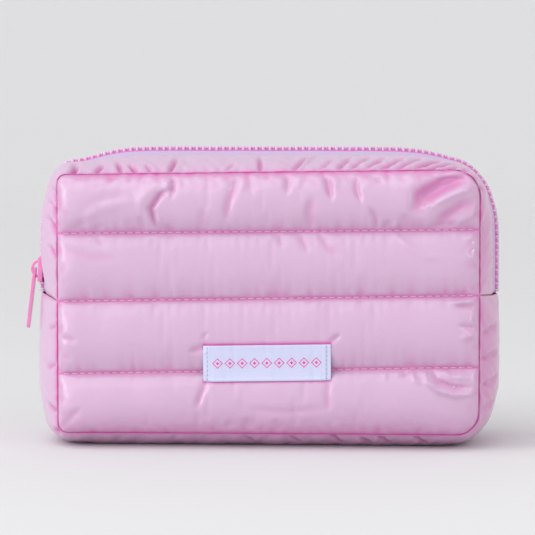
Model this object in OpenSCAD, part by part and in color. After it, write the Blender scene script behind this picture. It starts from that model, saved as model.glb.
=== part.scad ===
// Quilted puffer pouch with a zip that runs down both sides.
// Millimetres, +Z up. The origin is on the ground under the middle of the bag,
// X runs along the width, and the front panel faces -Y.

/* [Bag] */
// Width of the front and back panels, seam to seam
panel_w = 200; // [160:1:250]
// Depth of the gusset, from the front seam to the back seam
depth = 70; // [56:1:90]
// Radius of the panel corners at the seam
corner_r = 12; // [10:0.5:20]
// How far the gusset swells past the seams
bulge = 11; // [9:0.5:14]
// Height of the bottom seam above the ground
seam_lift = 7; // [5:0.5:8]

/* [Quilting] */
// Height of the top channel
top_channel_h = 28; // [24:0.5:40]
// Height of the second channel
second_channel_h = 31.5; // [24:0.5:40]
// Height of the third channel
third_channel_h = 34; // [24:0.5:42]
// Height of the bottom channel
bottom_channel_h = 30.5; // [24:0.5:40]
// How far a channel stands proud of its stitch lines
puff = 5.6; // [4:0.1:7]
// Rounding of the panel's left and right ends
end_r = 9; // [6:0.5:11]
// Diameter of the quilting thread
thread_d = 0.4; // [0.3:0.05:0.6]

/* [Layers] */
// Thickness of the coated outer fabric
shell_t = 0.5; // [0.3:0.05:0.8]
// Thickness of the wadding beside the zip
wadding_t = 2; // [1:0.1:3]
// Thickness of the lining
lining_t = 0.4; // [0.2:0.05:0.6]
// Gap left between layers that lie on each other
ply_gap = 0.1; // [0.05:0.05:0.2]
// Width of the tape that binds the inside seams
binding_w = 7; // [5:0.5:9]
// Thickness of the bound seam
binding_t = 2; // [1:0.1:2.5]
// Gap along the folding line between the upper and the lower half
fold_gap = 0.5; // [0.4:0.05:0.8]

/* [Zip] */
// Half width of the closed zip, tape edge to middle
tape_reach = 15; // [13:0.5:18]
// Thickness of the zip tape
tape_t = 0.6; // [0.4:0.05:0.8]
// Distance from the middle of the zip to the folded edge of the fabric
strip_edge = 7; // [6.8:0.1:9]
// Distance between neighbouring teeth on one tape
tooth_pitch = 3.2; // [2.8:0.1:4]
// Width of a tooth along the zip
tooth_w = 1.3; // [1:0.05:1.35]
// Thickness of a tooth
tooth_t = 2.4; // [2:0.1:2.8]
// How far a tooth reaches past the middle of the closed zip
tooth_reach = 0.8; // [0.5:0.05:1]
// How far the root of a tooth lies from the middle
tooth_root = 3.4; // [3:0.1:3.6]
// How far the slider parts the two rows of teeth
tooth_part = 1.8; // [1.7:0.05:2]

/* [Slider] */
// Height of the slider above the side seam
slider_up = 11; // [9:0.5:30]
// Length of the slider body
slider_l = 11.5; // [10.5:0.1:13]
// Half width of the slider where the closed teeth leave it
slider_back = 4.75; // [4.7:0.05:5]
// Half width of the slider where the open teeth enter it
slider_front = 6.3; // [6.2:0.05:6.5]
// Thickness of the slider's plates
plate_t = 1.4; // [1:0.1:1.6]
// Height of the bridge above the outer plate
bridge_h = 3.9; // [3.6:0.1:5]
// Length of the bridge along the slider
bridge_l = 9; // [8.6:0.1:10]
// Thickness of the bridge
bridge_t = 1.2; // [0.8:0.1:1.3]
// Length of the pull from its pivot
pull_l = 29; // [20:0.5:40]
// Width of the pull
pull_w = 5; // [4.4:0.1:8]
// Thickness of the pull
pull_t = 1.5; // [1:0.1:1.8]
// Outward lean of the hanging pull, in degrees
pull_lean = 7; // [3:0.5:12]

/* [Label] */
// Width of the woven label
label_w = 60; // [30:1:90]
// Height of the woven label
label_h = 17; // [10:0.5:22]
// Thickness of the woven label
label_t = 0.5; // [0.3:0.05:0.8]
// How far the label's middle sits above the lowest stitch line
label_up = 4; // [0:0.5:8]

/* [Hidden] */
$fn = 96;
swell_fn = 240;

half_w = panel_w / 2;
seam_y = depth / 2;
z_bottom = seam_lift;
z_line3 = z_bottom + bottom_channel_h;
z_line2 = z_line3 + third_channel_h;
z_line1 = z_line2 + second_channel_h;
z_top = z_line1 + top_channel_h;
z_low_mid = z_line2 - fold_gap / 2;
z_high_mid = z_line2 + fold_gap / 2;
run_w = panel_w - 2 * corner_r;
run_top = z_top - corner_r;
run_bottom = z_bottom + corner_r;

// the gusset's swelling is an arc through both seams
arc_r = (pow(seam_y, 2) + pow(bulge, 2)) / (2 * bulge);
arc_x = corner_r + bulge - arc_r;
function swell(inset, y) = arc_x + sqrt(pow(arc_r - inset, 2) - y * y);

// depths of the layers under the outer surface
tape_in = shell_t + ply_gap;
tape_out = tape_in + tape_t;
tape_mid = (tape_in + tape_out) / 2;
pad_in = tape_out + ply_gap;
pad_out = pad_in + wadding_t;
lining_in = pad_out + ply_gap;
lining_out = lining_in + lining_t;
pad_y = seam_y - 2 * ply_gap;
tape_clear = 3 * ply_gap;

// the panels, measured out from the middle of the bag
panel_y = seam_y + ply_gap;
panel_pad_y = panel_y + lining_t + ply_gap;
groove_y = panel_pad_y + shell_t + 5 * ply_gap;
crown_y = groove_y + puff + 3 * ply_gap;
channel_z = [z_bottom, z_line3, z_line2, z_line1, z_top];
channel_gap = 0.4;
stitch_out = 0.3;

// the teeth are spread evenly over each stretch of the zip
chain_r = corner_r + bulge - tape_mid;
side_run_l = run_top - z_high_mid;
side_n = floor(side_run_l / tooth_pitch);
side_step = side_run_l / side_n;
arc_n = floor(chain_r * PI / 2 / tooth_pitch);
arc_step = 90 / arc_n;
top_n = floor(run_w / tooth_pitch);
top_step = run_w / top_n;
tape_edge = 2.2;
tooth_reach_out = tooth_root + tooth_part;
tape_drop = arc_r - sqrt(pow(arc_r, 2) - pow(tooth_reach_out, 2));
slot_out = tape_t / 2 + 0.1;
slot_in = tape_t / 2 + 0.1 + tape_drop;
slot_edge = tape_edge - 0.05;

// the slider, measured along and out from the middle of the zip's tape
chain_x = half_w + bulge - tape_mid;
slider_z = z_line2 + slider_up;
mouth_half = tooth_t / 2 + 0.2;
plate_out = mouth_half + plate_t;
inner_plate_t = plate_t - 0.2;
flange_t = 0.8;
flare_high = 1.5;
flare_low = -2;
divider_half = 0.8;
divider_high = -2.6;
divider_low = 0.5 - slider_l / 2;
part_start = 1;
part_end = -2.3;
flange_drop = arc_r - sqrt(pow(arc_r, 2) - pow(slider_front, 2));
tape_slot_out = tape_t / 2 + 0.15;
tape_slot_in = tape_t / 2 + 0.2 + flange_drop;
bridge_r = (pow(bridge_l / 2, 2) + pow(bridge_h, 2)) / (2 * bridge_h);
bridge_u = plate_out + bridge_h - bridge_r;
bridge_half = 1;
bar_r = 0.7;
bar_u = plate_out + bridge_h - bridge_t - bar_r - 0.1;
window_half = bridge_half + 0.3;
window_l = bridge_l / 2 + 0.1;
arm_t = 1.2;
spring_t = 0.35;
spring_half = 0.8;
spring_l = 5.6;

// the label lies on the crowns beside its stitch line
label_bottom = z_line3 + label_up - label_h / 2;
label_rise = max(
    crown_at(third_channel_h, min(label_h / 2 + label_up, third_channel_h / 2)),
    crown_at(bottom_channel_h, max(label_h / 2 - label_up, 0))
);
label_y = groove_y + label_rise + ply_gap;
stitch_l = 1.6;
stitch_pitch = 2.4;
stitch_t = 0.25;
stitch_in = 1.6;
reach = 400;

function crown_r(h) = (pow(h / 2, 2) + pow(puff, 2)) / (2 * puff);
function crown_at(h, s) = sqrt(pow(crown_r(h), 2) - pow(h / 2 - s, 2)) - crown_r(h) + puff;
function parting(dz) = dz > part_start ? 0
    : dz < part_end ? tooth_part
    : tooth_part * (part_start - dz) / (part_start - part_end);

front = -1;
back = 1;

// ---- shared shapes ----

// turns a shape drawn on the back (+Y) to the side asked for
module facing(side) mirror([0, side == front ? 1 : 0, 0]) children();

// the slab between two heights
module between(z0, z1)
    translate([-reach / 2, -reach / 2, z0]) cube([reach, reach, z1 - z0]);

// section of one layer of the gusset: x runs outward, y runs to the back
module layer(inset_out, inset_in, y0, y1)
    intersection() {
        translate([arc_x, 0]) difference() {
            circle(r = arc_r - inset_out, $fn = swell_fn);
            circle(r = arc_r - inset_in, $fn = swell_fn);
        }
        translate([0, y0]) square([corner_r + bulge + 1, y1 - y0]);
    }

// section of the whole gusset, inset all round
module swollen(inset, y_half)
    intersection() {
        translate([arc_x, 0]) circle(r = arc_r - inset, $fn = swell_fn);
        translate([0, -y_half]) square([corner_r + bulge + 1, 2 * y_half]);
    }

// a section carried up the right side, round the right corner and along the top
module up_side(z0, z1)
    translate([half_w - corner_r, 0, z0]) linear_extrude(z1 - z0) children();

module round_corner(z)
    translate([half_w - corner_r, 0, z])
        mirror([0, 1, 0]) rotate([90, 0, 0]) rotate_extrude(angle = 90) children();

module along_top(z)
    translate([half_w - corner_r, 0, z])
        rotate([0, -90, 0]) linear_extrude(run_w) children();

module over_the_top() {
    along_top(run_top) children();
    for (turn = [0, 1]) mirror([turn, 0, 0]) round_corner(run_top) children();
}

module both_sides_and_top(z0) {
    over_the_top() children();
    for (turn = [0, 1]) mirror([turn, 0, 0]) up_side(z0, run_top) children();
}

// a section carried round the bottom and up to the given height
module round_the_bottom(z1) {
    mirror([0, 0, 1]) along_top(-run_bottom) children();
    for (turn = [0, 1]) mirror([turn, 0, 0]) {
        mirror([0, 0, 1]) round_corner(-run_bottom) children();
        up_side(run_bottom, z1) children();
    }
}

// ---- panels ----

// the four channels, seen from the end: x runs to the back, y runs up
module channels(inset, base, gap)
    for (i = [0 : 3]) {
        h = channel_z[i + 1] - channel_z[i];
        intersection() {
            translate([groove_y + puff - crown_r(h), channel_z[i] + h / 2])
                circle(r = crown_r(h) - inset);
            translate([base, channel_z[i] + gap]) square([crown_y, h - 2 * gap]);
        }
    }

// the panel seen from above, with its two ends rounded over
module rounded_ends(inset, base)
    intersection() {
        union() {
            translate([-half_w + end_r, 0]) square([panel_w - 2 * end_r, crown_y - inset]);
            for (side = [-1, 1])
                translate([side * (half_w - end_r), crown_y - end_r]) circle(r = end_r - inset);
        }
        translate([-half_w, base]) square([panel_w, crown_y]);
    }

// the outline of the panel, seen from the front
module outline(inset)
    union() {
        translate([-half_w + corner_r, z_bottom + inset])
            square([run_w, z_top - z_bottom - 2 * inset]);
        translate([-half_w + inset, run_bottom])
            square([panel_w - 2 * inset, run_top - run_bottom]);
        for (x = [-run_w / 2, run_w / 2], z = [run_bottom, run_top])
            translate([x, z]) circle(r = corner_r - inset);
    }

module standing(y0, y1)
    translate([0, y1, 0]) rotate([90, 0, 0]) linear_extrude(y1 - y0) children();

module stuffed_panel(inset, base, gap)
    intersection() {
        translate([-half_w, 0, 0])
            rotate([90, 0, 90]) linear_extrude(panel_w) channels(inset, base, gap);
        linear_extrude(z_top + 1) rounded_ends(inset, base);
        standing(base, crown_y + 1) outline(inset);
    }

module panel_shell(side, z0, z1)
    facing(side) intersection() {
        difference() {
            stuffed_panel(0, panel_y, 0);
            stuffed_panel(shell_t, panel_y - 1, 0);
        }
        between(z0, z1);
    }

module panel_wadding(side, z0, z1)
    facing(side) intersection() {
        stuffed_panel(shell_t + ply_gap, panel_pad_y, channel_gap);
        between(z0, z1);
    }

module panel_lining(side, z0, z1)
    facing(side) intersection() {
        standing(panel_y, panel_y + lining_t) outline(shell_t + ply_gap);
        linear_extrude(z_top) rounded_ends(shell_t + ply_gap, panel_y);
        between(z0, z1);
    }

module quilting(side, lines)
    facing(side) for (z = lines)
        translate([-half_w + end_r, groove_y + stitch_out, z])
            rotate([0, 90, 0]) cylinder(h = panel_w - 2 * end_r, d = thread_d, $fn = 16);

module front_panel_lower() color("#f4b3da") panel_shell(front, z_bottom, z_low_mid);
module front_panel_upper() color("#f4b3da") panel_shell(front, z_high_mid, z_top);
module back_panel_lower() color("#f4b3da") panel_shell(back, z_bottom, z_low_mid);
module back_panel_upper() color("#f4b3da") panel_shell(back, z_high_mid, z_top);

module front_wadding_lower() color("#f7f2f5") panel_wadding(front, z_bottom, z_low_mid);
module front_wadding_upper() color("#f7f2f5") panel_wadding(front, z_high_mid, z_top);
module back_wadding_lower() color("#f7f2f5") panel_wadding(back, z_bottom, z_low_mid);
module back_wadding_upper() color("#f7f2f5") panel_wadding(back, z_high_mid, z_top);

module front_lining_lower() color("#f0c2dd") panel_lining(front, z_bottom, z_low_mid);
module front_lining_upper() color("#f0c2dd") panel_lining(front, z_high_mid, z_top);
module back_lining_lower() color("#f0c2dd") panel_lining(back, z_bottom, z_low_mid);
module back_lining_upper() color("#f0c2dd") panel_lining(back, z_high_mid, z_top);

module front_quilting_lower() color("#e283bb") quilting(front, [z_line2, z_line3]);
module front_quilting_upper() color("#e283bb") quilting(front, [z_line1]);
module back_quilting_lower() color("#e283bb") quilting(back, [z_line2, z_line3]);
module back_quilting_upper() color("#e283bb") quilting(back, [z_line1]);

// ---- base gusset: sides below the seams, and the bottom, flat on the ground ----

module base_barrel(inset, y_half, z1)
    intersection() {
        union() {
            round_the_bottom(z1) swollen(inset, y_half);
            translate([-run_w / 2, -y_half, run_bottom])
                cube([run_w, 2 * y_half, z1 - run_bottom]);
        }
        between(inset, z1 + 1);
    }

module base_layer(inset_out, inset_in, y_half)
    difference() {
        base_barrel(inset_out, y_half, z_low_mid);
        base_barrel(inset_in, y_half + 1, z_low_mid + 1);
    }

module base_gusset() color("#eea6d3") base_layer(0, shell_t, seam_y);
module base_gusset_wadding() color("#f7f2f5") base_layer(tape_in, pad_out, pad_y);
module base_gusset_lining() color("#f0c2dd") base_layer(lining_in, lining_out, pad_y);

// ---- the two strips that hold the zip ----

module zip_strip(side) facing(side)
    both_sides_and_top(z_high_mid) layer(0, shell_t, strip_edge, seam_y);
module zip_strip_wadding(side) facing(side)
    both_sides_and_top(z_high_mid) layer(pad_in, pad_out, tape_reach + tape_clear, pad_y);
module zip_strip_lining(side) facing(side)
    both_sides_and_top(z_high_mid) layer(lining_in, lining_out, strip_edge, pad_y);

module front_zip_strip() color("#eea6d3") zip_strip(front);
module back_zip_strip() color("#eea6d3") zip_strip(back);
module front_zip_strip_wadding() color("#f7f2f5") zip_strip_wadding(front);
module back_zip_strip_wadding() color("#f7f2f5") zip_strip_wadding(back);
module front_zip_strip_lining() color("#f0c2dd") zip_strip_lining(front);
module back_zip_strip_lining() color("#f0c2dd") zip_strip_lining(back);

// ---- tape that binds the raw seams inside ----

binding_y = pad_y - binding_w - 5 * ply_gap;
binding_x = swell(lining_out, binding_y + binding_w) - ply_gap;

module binding_section()
    translate([binding_x - binding_t, binding_y]) square([binding_t, binding_w]);

module binding_upper(side) facing(side) both_sides_and_top(z_high_mid) binding_section();
module binding_lower(side) facing(side) round_the_bottom(z_low_mid) binding_section();

module front_binding_lower() color("#e7a3cc") binding_lower(front);
module front_binding_upper() color("#e7a3cc") binding_upper(front);
module back_binding_lower() color("#e7a3cc") binding_lower(back);
module back_binding_upper() color("#e7a3cc") binding_upper(back);

// ---- zip tapes ----

module tape_section() layer(tape_in, tape_out, tape_edge, tape_reach);
module tape_side(side, turn)
    facing(side) mirror([turn, 0, 0])
        up_side(z_high_mid, run_top - ply_gap) tape_section();
module tape_top(side)
    facing(side) intersection() {
        over_the_top() tape_section();
        between(run_top + ply_gap, z_top + bulge);
    }

module front_zip_tape_left() color("#dba6e0") tape_side(front, 1);
module front_zip_tape_top() color("#dba6e0") tape_top(front);
module front_zip_tape_right() color("#dba6e0") tape_side(front, 0);
module back_zip_tape_left() color("#dba6e0") tape_side(back, 1);
module back_zip_tape_top() color("#dba6e0") tape_top(back);
module back_zip_tape_right() color("#dba6e0") tape_side(back, 0);

// ---- zip teeth: the two rows stand half a pitch apart ----

function phase(side) = side == front ? 0.25 : 0.75;

// section of a tooth that clasps its tape: x runs outward, y runs to its tape
module tooth_section(shift)
    polygon([
        [chain_r - tooth_t / 2, shift - tooth_reach],
        [chain_r + tooth_t / 2, shift - tooth_reach],
        [chain_r + tooth_t / 2, shift + tooth_root],
        [chain_r + slot_out, shift + tooth_root],
        [chain_r + slot_out, slot_edge],
        [chain_r - slot_in, slot_edge],
        [chain_r - slot_in, shift + tooth_root],
        [chain_r - tooth_t / 2, shift + tooth_root]
    ]);

module tooth(side, shift = 0)
    facing(side) translate([0, 0, -tooth_w / 2]) linear_extrude(tooth_w) tooth_section(shift);

module teeth_side(side)
    for (i = [0 : side_n - 1]) {
        z = z_high_mid + (i + phase(side)) * side_step;
        translate([half_w - corner_r, 0, z]) tooth(side);
    }

module parted_teeth_side(side)
    for (i = [0 : side_n - 1]) {
        z = z_high_mid + (i + phase(side)) * side_step;
        translate([half_w - corner_r, 0, z]) tooth(side, parting(z - slider_z));
    }

module teeth_top(side) {
    for (i = [0 : top_n - 1])
        translate([-run_w / 2 + (i + phase(side)) * top_step, 0, run_top])
            rotate([0, -90, 0]) tooth(side);
    for (turn = [0, 1], i = [0 : arc_n - 1])
        mirror([turn, 0, 0]) translate([half_w - corner_r, 0, run_top])
            rotate([0, -(i + phase(turn == 0 ? side : -side)) * arc_step, 0]) tooth(side);
}

module front_zip_teeth_left() color("#f2a0d2") mirror([1, 0, 0]) parted_teeth_side(front);
module front_zip_teeth_top() color("#f2a0d2") teeth_top(front);
module front_zip_teeth_right() color("#f2a0d2") teeth_side(front);
module back_zip_teeth_left() color("#f2a0d2") mirror([1, 0, 0]) parted_teeth_side(back);
module back_zip_teeth_top() color("#f2a0d2") teeth_top(back);
module back_zip_teeth_right() color("#f2a0d2") teeth_side(back);

// ---- slider: drawn with x outward from the tape and z up the zip ----

module at_slider() translate([-chain_x, 0, slider_z]) mirror([1, 0, 0]) children();

// outline of the slider, flared at the end that meets the open teeth
module slider_outline(inset, over)
    polygon([
        [-slider_back + inset, slider_l / 2 + over],
        [slider_back - inset, slider_l / 2 + over],
        [slider_back - inset, flare_high],
        [slider_front - inset, flare_low],
        [slider_front - inset, -slider_l / 2 - over],
        [-slider_front + inset, -slider_l / 2 - over],
        [-slider_front + inset, flare_low],
        [-slider_back + inset, flare_high]
    ]);

// carries a shape drawn with x to the back and y up outward from x0 to x1
module outward(x0, x1)
    translate([x0, 0, 0]) rotate([90, 0, 90]) linear_extrude(x1 - x0) children();

module slider_flange(x0, x1)
    outward(x0, x1) difference() {
        slider_outline(0, 0);
        slider_outline(flange_t, 1);
    }

module slider_body() color("#f3a8d6") at_slider() {
    outward(mouth_half, plate_out) slider_outline(0, 0);
    outward(-mouth_half - inner_plate_t, -mouth_half) slider_outline(0, 0);
    slider_flange(tape_slot_out, mouth_half);
    slider_flange(-mouth_half, -tape_slot_in);
    outward(-mouth_half, mouth_half)
        translate([-divider_half, divider_low])
            square([2 * divider_half, divider_high - divider_low]);
}

module slider_bridge() color("#f3a8d6") at_slider()
    translate([0, bridge_half, 0]) rotate([90, 0, 0]) linear_extrude(2 * bridge_half)
        intersection() {
            translate([bridge_u, 0]) difference() {
                circle(r = bridge_r);
                circle(r = bridge_r - bridge_t);
            }
            translate([plate_out, -bridge_l]) square([2 * bridge_h, 2 * bridge_l]);
        }

module slider_lock_spring() color("#d9d9de") at_slider()
    translate([plate_out + ply_gap, -spring_half, -spring_l / 2])
        cube([spring_t, 2 * spring_half, spring_l]);

module slider_pull() color("#f3a8d6") at_slider()
    translate([bar_u, 0, 0]) rotate([0, -pull_lean, 0]) {
        rotate([90, 0, 0]) cylinder(h = pull_w, r = bar_r, center = true, $fn = 32);
        for (side = [-1, 1])
            mirror([0, side == 1 ? 0 : 1, 0])
                translate([-arm_t / 2, window_half, -window_l])
                    cube([arm_t, pull_w / 2 - window_half, window_l]);
        outward(-pull_t / 2, pull_t / 2) {
            translate([-pull_w / 2, -pull_l + pull_w / 2])
                square([pull_w, pull_l - pull_w / 2 - window_l]);
            translate([0, -pull_l + pull_w / 2]) circle(d = pull_w);
        }
    }

// ---- label, sewn down at its two ends ----

module label() color("#fbf7fa")
    translate([-label_w / 2, -label_y - label_t, label_bottom])
        cube([label_w, label_t, label_h]);

module label_stitching() color("#efe4ee")
    for (side = [-1, 1], i = [0 : floor((label_h - stitch_l) / stitch_pitch)])
        translate([
            side * (label_w / 2 - stitch_in) - stitch_t / 2,
            -label_y - label_t - stitch_t,
            label_bottom + stitch_t + i * stitch_pitch
        ])
            cube([stitch_t, stitch_t, stitch_l]);

front_panel_lower();
front_panel_upper();
back_panel_lower();
back_panel_upper();
front_wadding_lower();
front_wadding_upper();
back_wadding_lower();
back_wadding_upper();
front_lining_lower();
front_lining_upper();
back_lining_lower();
back_lining_upper();
front_quilting_lower();
front_quilting_upper();
back_quilting_lower();
back_quilting_upper();
base_gusset();
base_gusset_wadding();
base_gusset_lining();
front_zip_strip();
front_zip_strip_wadding();
front_zip_strip_lining();
back_zip_strip();
back_zip_strip_wadding();
back_zip_strip_lining();
front_binding_lower();
front_binding_upper();
back_binding_lower();
back_binding_upper();
front_zip_tape_left();
front_zip_tape_top();
front_zip_tape_right();
back_zip_tape_left();
back_zip_tape_top();
back_zip_tape_right();
front_zip_teeth_left();
front_zip_teeth_top();
front_zip_teeth_right();
back_zip_teeth_left();
back_zip_teeth_top();
back_zip_teeth_right();
slider_body();
slider_bridge();
slider_lock_spring();
slider_pull();
label();
label_stitching();
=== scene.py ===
# %% [markdown]
# # A quilted zip pouch, sewn piece by piece
#
# The pouch is two puffed panels, front and back, joined by a gusset: the band of cloth that runs
# round all four edges. The upper half of the gusset is split down its middle by a zip. Every layer
# is its own piece, as it is on a sewing table: glossy outer cloth, wadding, lining, binding tape,
# zip tapes, zip teeth, slider, pull and label.
#
# We work in metres, in the same frame as the engineering model: x runs along the zip, y from the
# front panel to the back one, and z up from the table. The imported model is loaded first, because
# every size below is read from it.

import bmesh
import bpy
import math
from mathutils import Matrix, Vector, noise
from mathutils.bvhtree import BVHTree


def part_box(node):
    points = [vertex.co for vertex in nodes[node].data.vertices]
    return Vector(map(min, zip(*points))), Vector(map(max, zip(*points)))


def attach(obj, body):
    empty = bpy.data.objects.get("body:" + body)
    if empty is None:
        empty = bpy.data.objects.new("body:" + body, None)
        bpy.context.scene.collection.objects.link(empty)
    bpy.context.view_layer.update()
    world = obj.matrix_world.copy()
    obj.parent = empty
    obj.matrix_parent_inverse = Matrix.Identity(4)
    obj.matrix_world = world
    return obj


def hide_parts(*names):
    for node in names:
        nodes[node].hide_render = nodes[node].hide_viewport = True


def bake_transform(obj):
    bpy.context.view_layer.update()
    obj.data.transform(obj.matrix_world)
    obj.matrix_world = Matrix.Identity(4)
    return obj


mm = 0.001
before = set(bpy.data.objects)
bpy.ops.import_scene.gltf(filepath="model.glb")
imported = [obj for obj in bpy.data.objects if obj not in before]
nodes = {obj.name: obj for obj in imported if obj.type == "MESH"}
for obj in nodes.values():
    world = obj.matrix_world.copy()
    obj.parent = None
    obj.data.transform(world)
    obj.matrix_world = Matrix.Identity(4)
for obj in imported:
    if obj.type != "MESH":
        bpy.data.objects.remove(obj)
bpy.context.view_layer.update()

# %% [markdown]
# ## The camera
#
# A product shot of a pouch is taken from far away with a long lens, so its edges stay parallel. The
# camera stands a little above the pouch and a hair to its right, which shows a sliver of the top.

# %% Place the camera
aim = Vector((-1.9 * mm, 0, 83.5 * mm))
distance = 1.3
turn, rise = math.radians(3), math.radians(4)
back = Vector((math.sin(turn) * math.cos(rise), -math.cos(turn) * math.cos(rise), math.sin(rise)))
camera_data = bpy.data.cameras.new("camera")
camera_data.lens = 181
camera_data.clip_start, camera_data.clip_end = 0.05, 50
camera = bpy.data.objects.new("camera", camera_data)
bpy.context.scene.collection.objects.link(camera)
camera.location = aim + back * distance
camera.rotation_euler = (-back).to_track_quat("-Z", "Y").to_euler()
bpy.context.scene.camera = camera
print("camera", [round(c, 3) for c in camera.location])

# %% [markdown]
# ## Sizes, read from the model
#
# The seams and the quilting lines are where two pieces of cloth are held together. Everything
# between them is free to puff, so these few numbers fix the whole shape. Two small steps are ours:
# the bridge of the slider stands a little way off the chain, and the folded edges of the two upper
# strips stop short of the edges in the model, because soft cloth rolls back where it is turned under.

# %% Where the seams and the stitch lines run
bridge_off_chain, rolled_back, half_thread = 2.8 * mm, 5 * mm, 0.2 * mm
seam_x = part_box("front_panel_upper")[1].x
seam_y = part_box("base_gusset")[1].y
seam_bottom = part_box("front_panel_lower")[0].z
seam_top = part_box("front_panel_upper")[1].z
fold_z = (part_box("front_panel_lower")[1].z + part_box("front_panel_upper")[0].z) / 2
high_line = sum(corner.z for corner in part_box("front_quilting_upper")) / 2
low_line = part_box("front_quilting_lower")[0].z + half_thread
groove_y = -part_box("front_quilting_lower")[1].y
crown_y = -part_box("front_panel_lower")[0].y
chain_out = -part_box("slider_bridge")[1].x - bridge_off_chain - seam_x
gusset_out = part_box("base_gusset")[1].x - seam_x
strip_edge_y = -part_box("front_zip_strip")[1].y + rolled_back
seams = [seam_bottom, low_line, fold_z, high_line, seam_top]
print("seams and stitch lines at z", [round(z / mm, 1) for z in seams], "mm")
print("folded edges of the strips", round(strip_edge_y / mm, 1), "mm from the middle of the chain")

# %% [markdown]
# ## The glossy cloth
#
# The outer cloth is a thin nylon with a clear coating, dyed pink. It is a dielectric: the dye gives
# the colour, and the coating lays a sharper white gloss over it. In a crease light bounces from pink
# to pink and comes out deeper. That shade is painted in: each cloth piece carries a "crease_shade"
# attribute, 1 in a seam and 0 on the open cloth, that pulls the colour towards magenta. The weave is
# far finer than a millimetre and follows the piece's own flat pattern, its UV map, which is measured
# in metres.

# %% Small helpers for materials
def new_material(name, colour, roughness):
    """A Principled material, with its node tree, its shader and a way to add nodes."""
    material = bpy.data.materials.new(name)
    material.use_nodes = True
    tree = material.node_tree
    shader = tree.nodes["Principled BSDF"]
    shader.inputs["Base Color"].default_value = (*colour, 1)
    shader.inputs["Roughness"].default_value = roughness
    material.diffuse_color = (*colour, 1)
    return material, tree, shader


def add_node(tree, kind, **settings):
    """One node, with its properties, or its inputs by name, set."""
    node = tree.nodes.new(kind)
    for key, value in settings.items():
        if hasattr(node, key):
            setattr(node, key, value)
        else:
            node.inputs[key.replace("_", " ")].default_value = value
    return node


def mix_colours(tree, share, first, second):
    """A Mix node between two colours, or colour outputs, by a share output."""
    mix = add_node(tree, "ShaderNodeMix", data_type="RGBA")
    tree.links.new(share, mix.inputs[0])
    for socket, colour in ((mix.inputs[6], first), (mix.inputs[7], second)):
        if isinstance(colour, tuple):
            socket.default_value = (*colour, 1)
        else:
            tree.links.new(colour, socket)
    return mix.outputs[2]


def sine(tree, vector, scale, direction):
    """Even ridges along one direction, as the threads of a weave."""
    wave = add_node(tree, "ShaderNodeTexWave", bands_direction=direction, Scale=scale)
    tree.links.new(vector, wave.inputs["Vector"])
    return wave.outputs["Fac"]


def bump(tree, shader, height, strength, depth, under=None):
    """Adds a bump of that depth in metres to the shader, on top of another bump if given."""
    node = add_node(tree, "ShaderNodeBump", Strength=strength, Distance=depth)
    tree.links.new(height, node.inputs["Height"])
    if under:
        tree.links.new(under.outputs[0], node.inputs["Normal"])
    tree.links.new(node.outputs[0], shader.inputs["Normal"])
    return node


print("material helpers ready")


# %% Coated nylon, with a crease colour and a fine weave
def woven_cloth(name, colour, shade_colour, roughness, coat, thread, weave_depth):
    """A woven cloth: dye, painted deeper shade in the creases, thread ridges and soft wrinkles."""
    material, tree, shader = new_material(name, colour, roughness)
    flat = add_node(tree, "ShaderNodeUVMap", uv_map="flat")
    place = add_node(tree, "ShaderNodeTexCoord")
    crease_shade = add_node(tree, "ShaderNodeAttribute", attribute_name="crease_shade")
    patches = add_node(tree, "ShaderNodeTexNoise", Scale=38.0, Detail=3.0)
    tree.links.new(place.outputs["Object"], patches.inputs["Vector"])
    paler = tuple(min(1, c * 1.06) for c in colour)
    dye = mix_colours(tree, patches.outputs["Fac"], paler, colour)
    # Painted shade: the crease_shade attribute pulls the colour towards the deeper shade colour.
    dye = mix_colours(tree, crease_shade.outputs["Fac"], dye, shade_colour)
    tree.links.new(dye, shader.inputs["Base Color"])
    wrinkles = add_node(tree, "ShaderNodeTexNoise", Scale=150.0, Detail=4.0, Roughness=0.6)
    tree.links.new(place.outputs["Object"], wrinkles.inputs["Vector"])
    warp = sine(tree, flat.outputs[0], 0.32 / thread, "X")
    weft = sine(tree, flat.outputs[0], 0.32 / thread, "Y")
    weave = add_node(tree, "ShaderNodeMath", operation="MULTIPLY")
    tree.links.new(warp, weave.inputs[0])
    tree.links.new(weft, weave.inputs[1])
    soft = bump(tree, shader, wrinkles.outputs["Fac"], 0.35, 0.5 * mm)
    bump(tree, shader, weave.outputs[0], 0.25, weave_depth, under=soft)
    shader.inputs["Coat Weight"].default_value = coat
    shader.inputs["Coat Roughness"].default_value = 0.09
    shader.inputs["Coat IOR"].default_value = 1.4
    shader.inputs["Sheen Weight"].default_value = 0.04
    shader.inputs["Sheen Roughness"].default_value = 0.4
    return material


# The pink dye, and the deeper pink that is painted as shade in creases and seams.
pink_dye, crease_shade_colour = (0.645, 0.425, 0.61), (0.66, 0.09, 0.40)
glossy_nylon = woven_cloth("glossy_nylon", pink_dye, crease_shade_colour, 0.36, 0.65, 0.3 * mm, 0.03 * mm)
print("made", glossy_nylon.name)

# %% [markdown]
# ## The sewn edge
#
# One closed line holds the pouch together: the seam between a panel and the gusset. It is a
# rectangle with round corners, and hand sewing makes each corner a little different. We describe
# its upper and lower halves as routes, from the left fold to the right fold, so that the panels, the
# gusset, the zip and the bindings all follow the same line.

# %% The seam as a route over the top or under the bottom
corner_radius = {("left", 1): 4.5 * mm, ("right", 1): 13 * mm, ("left", -1): 5 * mm, ("right", -1): 11 * mm}
edge_z = {1: seam_top, -1: seam_bottom}


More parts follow.
